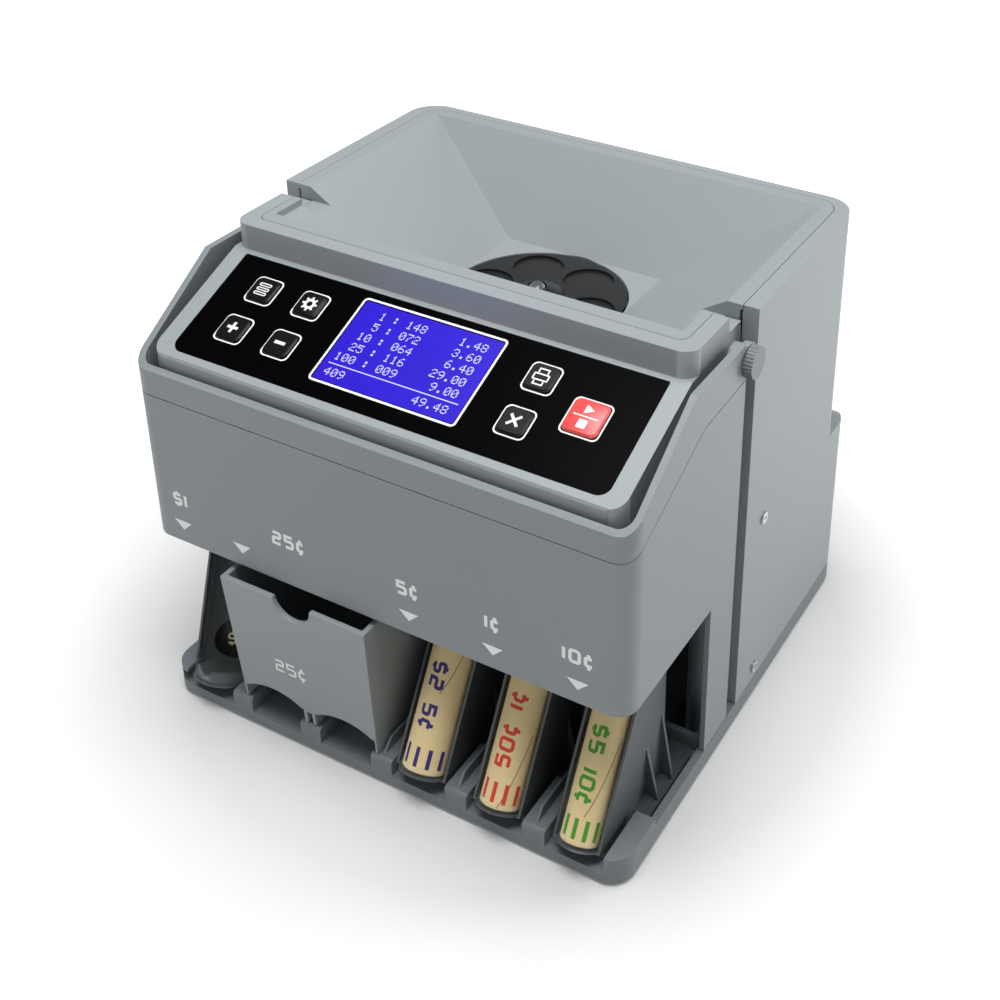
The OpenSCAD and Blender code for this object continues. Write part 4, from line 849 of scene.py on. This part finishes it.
class SORTER_OT_works(bpy.types.Operator):
    """Finish the drive, the sorting track, the boards and the rear fittings"""
    bl_idname = "sorter.works"
    bl_label = "Works"

    def execute(self, context):
        # zinc-plated sheet: bright grey, with rolled lines along X
        sheet = brushed("Steel_sheet_zinc_plated_rolled", "B9BDBF", rough=0.38,
                        stretch=(0.05, 1, 1), line_mm=0.8)
        finish_nodes(["feed_shelf", "sorting_track", "power_supply"], sheet)
        # powder coat on bent sheet: dark blue-grey with a slight orange-peel skin
        coat = moulded("Powder_coat_dark_grey_on_steel", hex_linear("3B4246"), rough=0.42,
                       spread=0.06, grain_mm=1.6, depth_mm=0.06)
        finish_nodes(["chassis_sides"], coat)
        # nickel over turned steel: bright, with fine rings round the axis
        turned = brushed("Steel_turned_nickel_plated", "C9CCCE", rough=0.22, stretch=(1, 1, 6),
                         line_mm=0.6)
        finish_nodes(["disc_spindle", "housing_screws"], turned)
        # sintered bronze: dull yellow-brown, evenly porous
        bronze = brushed("Bronze_sintered_bush", "B08D57", rough=0.5, stretch=(1, 1, 1),
                         line_mm=0.5)
        finish_nodes(["disc_bearing"], bronze)
        # deep-drawn steel can: grey, with draw marks along its axis
        can = brushed("Steel_can_deep_drawn", "7B8084", rough=0.35, stretch=(1, 1, 0.1),
                      line_mm=0.7)
        finish_nodes(["drive_motor"], can)
        # glass-fibre boards under solder mask: glossy green, mottled by the tracks below
        board = moulded("FR4_board_green_solder_mask", hex_linear("2C6B45"), rough=0.28,
                        spread=0.06, grain_mm=1.2, depth_mm=0.02, shift=0.12, patch_mm=8)
        finish_nodes(["main_board", "key_board", "lcd_module"], board)
        # acetal, black and a little waxy
        acetal = moulded("Acetal_black_moulding", hex_linear("1D1E20"), rough=0.36, spread=0.07,
                         grain_mm=1.0, depth_mm=0.02, shift=0.15)
        finish_nodes(["feed_disc", "disc_pulley", "motor_pulley", "sensor_bar", "power_inlet",
                      "power_switch", "switch_rocker"], acetal)
        # pad ink: a bar and a ring stand for on and off
        white = printed("Pad_ink_white", "F0F1F2")
        half, low, high = ON_BAR
        middle, outer, inner = OFF_RING
        marks = [fill([(-half, low), (half, low), (half, high), (-half, high)]),
                 band(circle_loop(0, middle, outer), circle_loop(0, middle, inner))]
        relief("rocker_marks", marks, on_rocker, settings().ink / MM, white, "rocker")
        return {"FINISHED"}


class SORTER_OT_stage(bpy.types.Operator):
    """Set the floor, the lights, the world and the camera"""
    bl_idname = "sorter.stage"
    bl_label = "Stage"

    def execute(self, context):
        scene = context.scene
        self.lay_floor(scene)
        self.fill_world(scene)
        for name, (where, size, power) in SOFTBOXES.items():
            lamp = bpy.data.lights.new(name, "AREA")
            lamp.size = size
            lamp.energy = power
            holder = bpy.data.objects.new(name, lamp)
            scene.collection.objects.link(holder)
            holder.location = where
            holder.rotation_euler = (LIT_POINT - Vector(where)).to_track_quat("-Z", "Y").to_euler()
        camera = bpy.data.objects.new("camera", bpy.data.cameras.new("camera"))
        scene.collection.objects.link(camera)
        turn = Matrix((EYE_RIGHT, EYE_UP, EYE_BACK)).transposed()
        camera.matrix_world = Matrix.Translation(EYE) @ turn.to_4x4()
        for key, value in LENS.items():
            setattr(camera.data, key, value)
        scene.camera = camera
        scene.view_settings.view_transform = "Standard"
        return {"FINISHED"}

    def lay_floor(self, scene):
        """A large white floor that keeps the machine's shadow and reads as white further out."""
        r = FLOOR_REACH
        floor_mesh = bpy.data.meshes.new("floor")
        floor_mesh.from_pydata([(-r, -r, 0), (r, -r, 0), (r, r, 0), (-r, r, 0)], [],
                               [(0, 1, 2, 3)])
        floor = bpy.data.objects.new("floor", floor_mesh)
        scene.collection.objects.link(floor)
        # smooth white laminate: pale, with a faint sheen
        material, tree, shader = new_finish("Floor_white_laminate", {
            "Base Color": hex_linear("DEDEDE"), "Roughness": 0.14, "Specular IOR Level": 0.4,
            "Emission Color": (1, 1, 1, 1)})
        rays = add(tree, "ShaderNodeLightPath")
        seen = add(tree, "ShaderNodeMath", {"operation": "MAXIMUM"},
                   {0: rays.outputs["Is Camera Ray"], 1: rays.outputs["Is Glossy Ray"]})
        seen = add(tree, "ShaderNodeMath", {"operation": "MAXIMUM"},
                   {0: seen.outputs[0], 1: rays.outputs["Is Transmission Ray"]})
        # the lift to white grows away from the machine, so that its shadow stays
        place = add(tree, "ShaderNodeTexCoord").outputs["Object"]
        away = add(tree, "ShaderNodeVectorMath", {"operation": "LENGTH"}, {0: place})
        far = add(tree, "ShaderNodeMapRange",
                  {"From Min": 0.18, "From Max": 0.45, "To Min": 0.1, "To Max": 0.85},
                  {"Value": away.outputs["Value"]})
        lift = add(tree, "ShaderNodeMath", {"operation": "MULTIPLY"},
                   {0: seen.outputs[0], 1: far.outputs["Result"]})
        tree.links.new(lift.outputs[0], shader.inputs["Emission Strength"])
        floor_mesh.materials.append(material)

    def fill_world(self, scene):
        """A white world that lights the machine softly and shows as plain white."""
        world = bpy.data.worlds.new("studio")
        scene.world = world
        world.use_nodes = True
        tree = world.node_tree
        sky = tree.nodes["Background"]
        sky.inputs["Color"].default_value = (1, 1, 1, 1)
        rays = add(tree, "ShaderNodeLightPath")
        seen = add(tree, "ShaderNodeMath", {"operation": "MAXIMUM"},
                   {0: rays.outputs["Is Camera Ray"], 1: rays.outputs["Is Transmission Ray"]})
        # what the camera sees is plain white, what lights the machine is far less
        level = add(tree, "ShaderNodeMapRange", {"To Min": 0.19, "To Max": 1.0},
                    {"Value": seen.outputs[0]})
        tree.links.new(level.outputs["Result"], sky.inputs["Strength"])


STEPS = (SORTER_OT_housings, SORTER_OT_base, SORTER_OT_cover, SORTER_OT_panel,
         SORTER_OT_display, SORTER_OT_labels, SORTER_OT_wrappers, SORTER_OT_badge,
         SORTER_OT_works, SORTER_OT_stage)


class SORTER_PT_panel(bpy.types.Panel):
    """Lists the finishing steps"""
    bl_idname = "SORTER_PT_panel"
    bl_label = "Coin sorting machine"
    bl_space_type = "VIEW_3D"
    bl_region_type = "UI"
    bl_category = "Sorter"

    def draw(self, context):
        for name in SorterFinish.__annotations__:
            self.layout.prop(settings(), name)
        for step in STEPS:
            self.layout.operator(step.bl_idname)


def register():
    for kind in (SorterFinish, *STEPS, SORTER_PT_panel):
        bpy.utils.register_class(kind)
    bpy.types.Scene.sorter_finish = bpy.props.PointerProperty(type=SorterFinish)


def unregister():
    del bpy.types.Scene.sorter_finish
    for kind in reversed((SorterFinish, *STEPS, SORTER_PT_panel)):
        bpy.utils.unregister_class(kind)


def main():
    """Runs every step in order."""
    register()
    for step in STEPS:
        group, name = step.bl_idname.split(".")
        getattr(getattr(bpy.ops, group), name)()


if __name__ == "__main__":
    main()
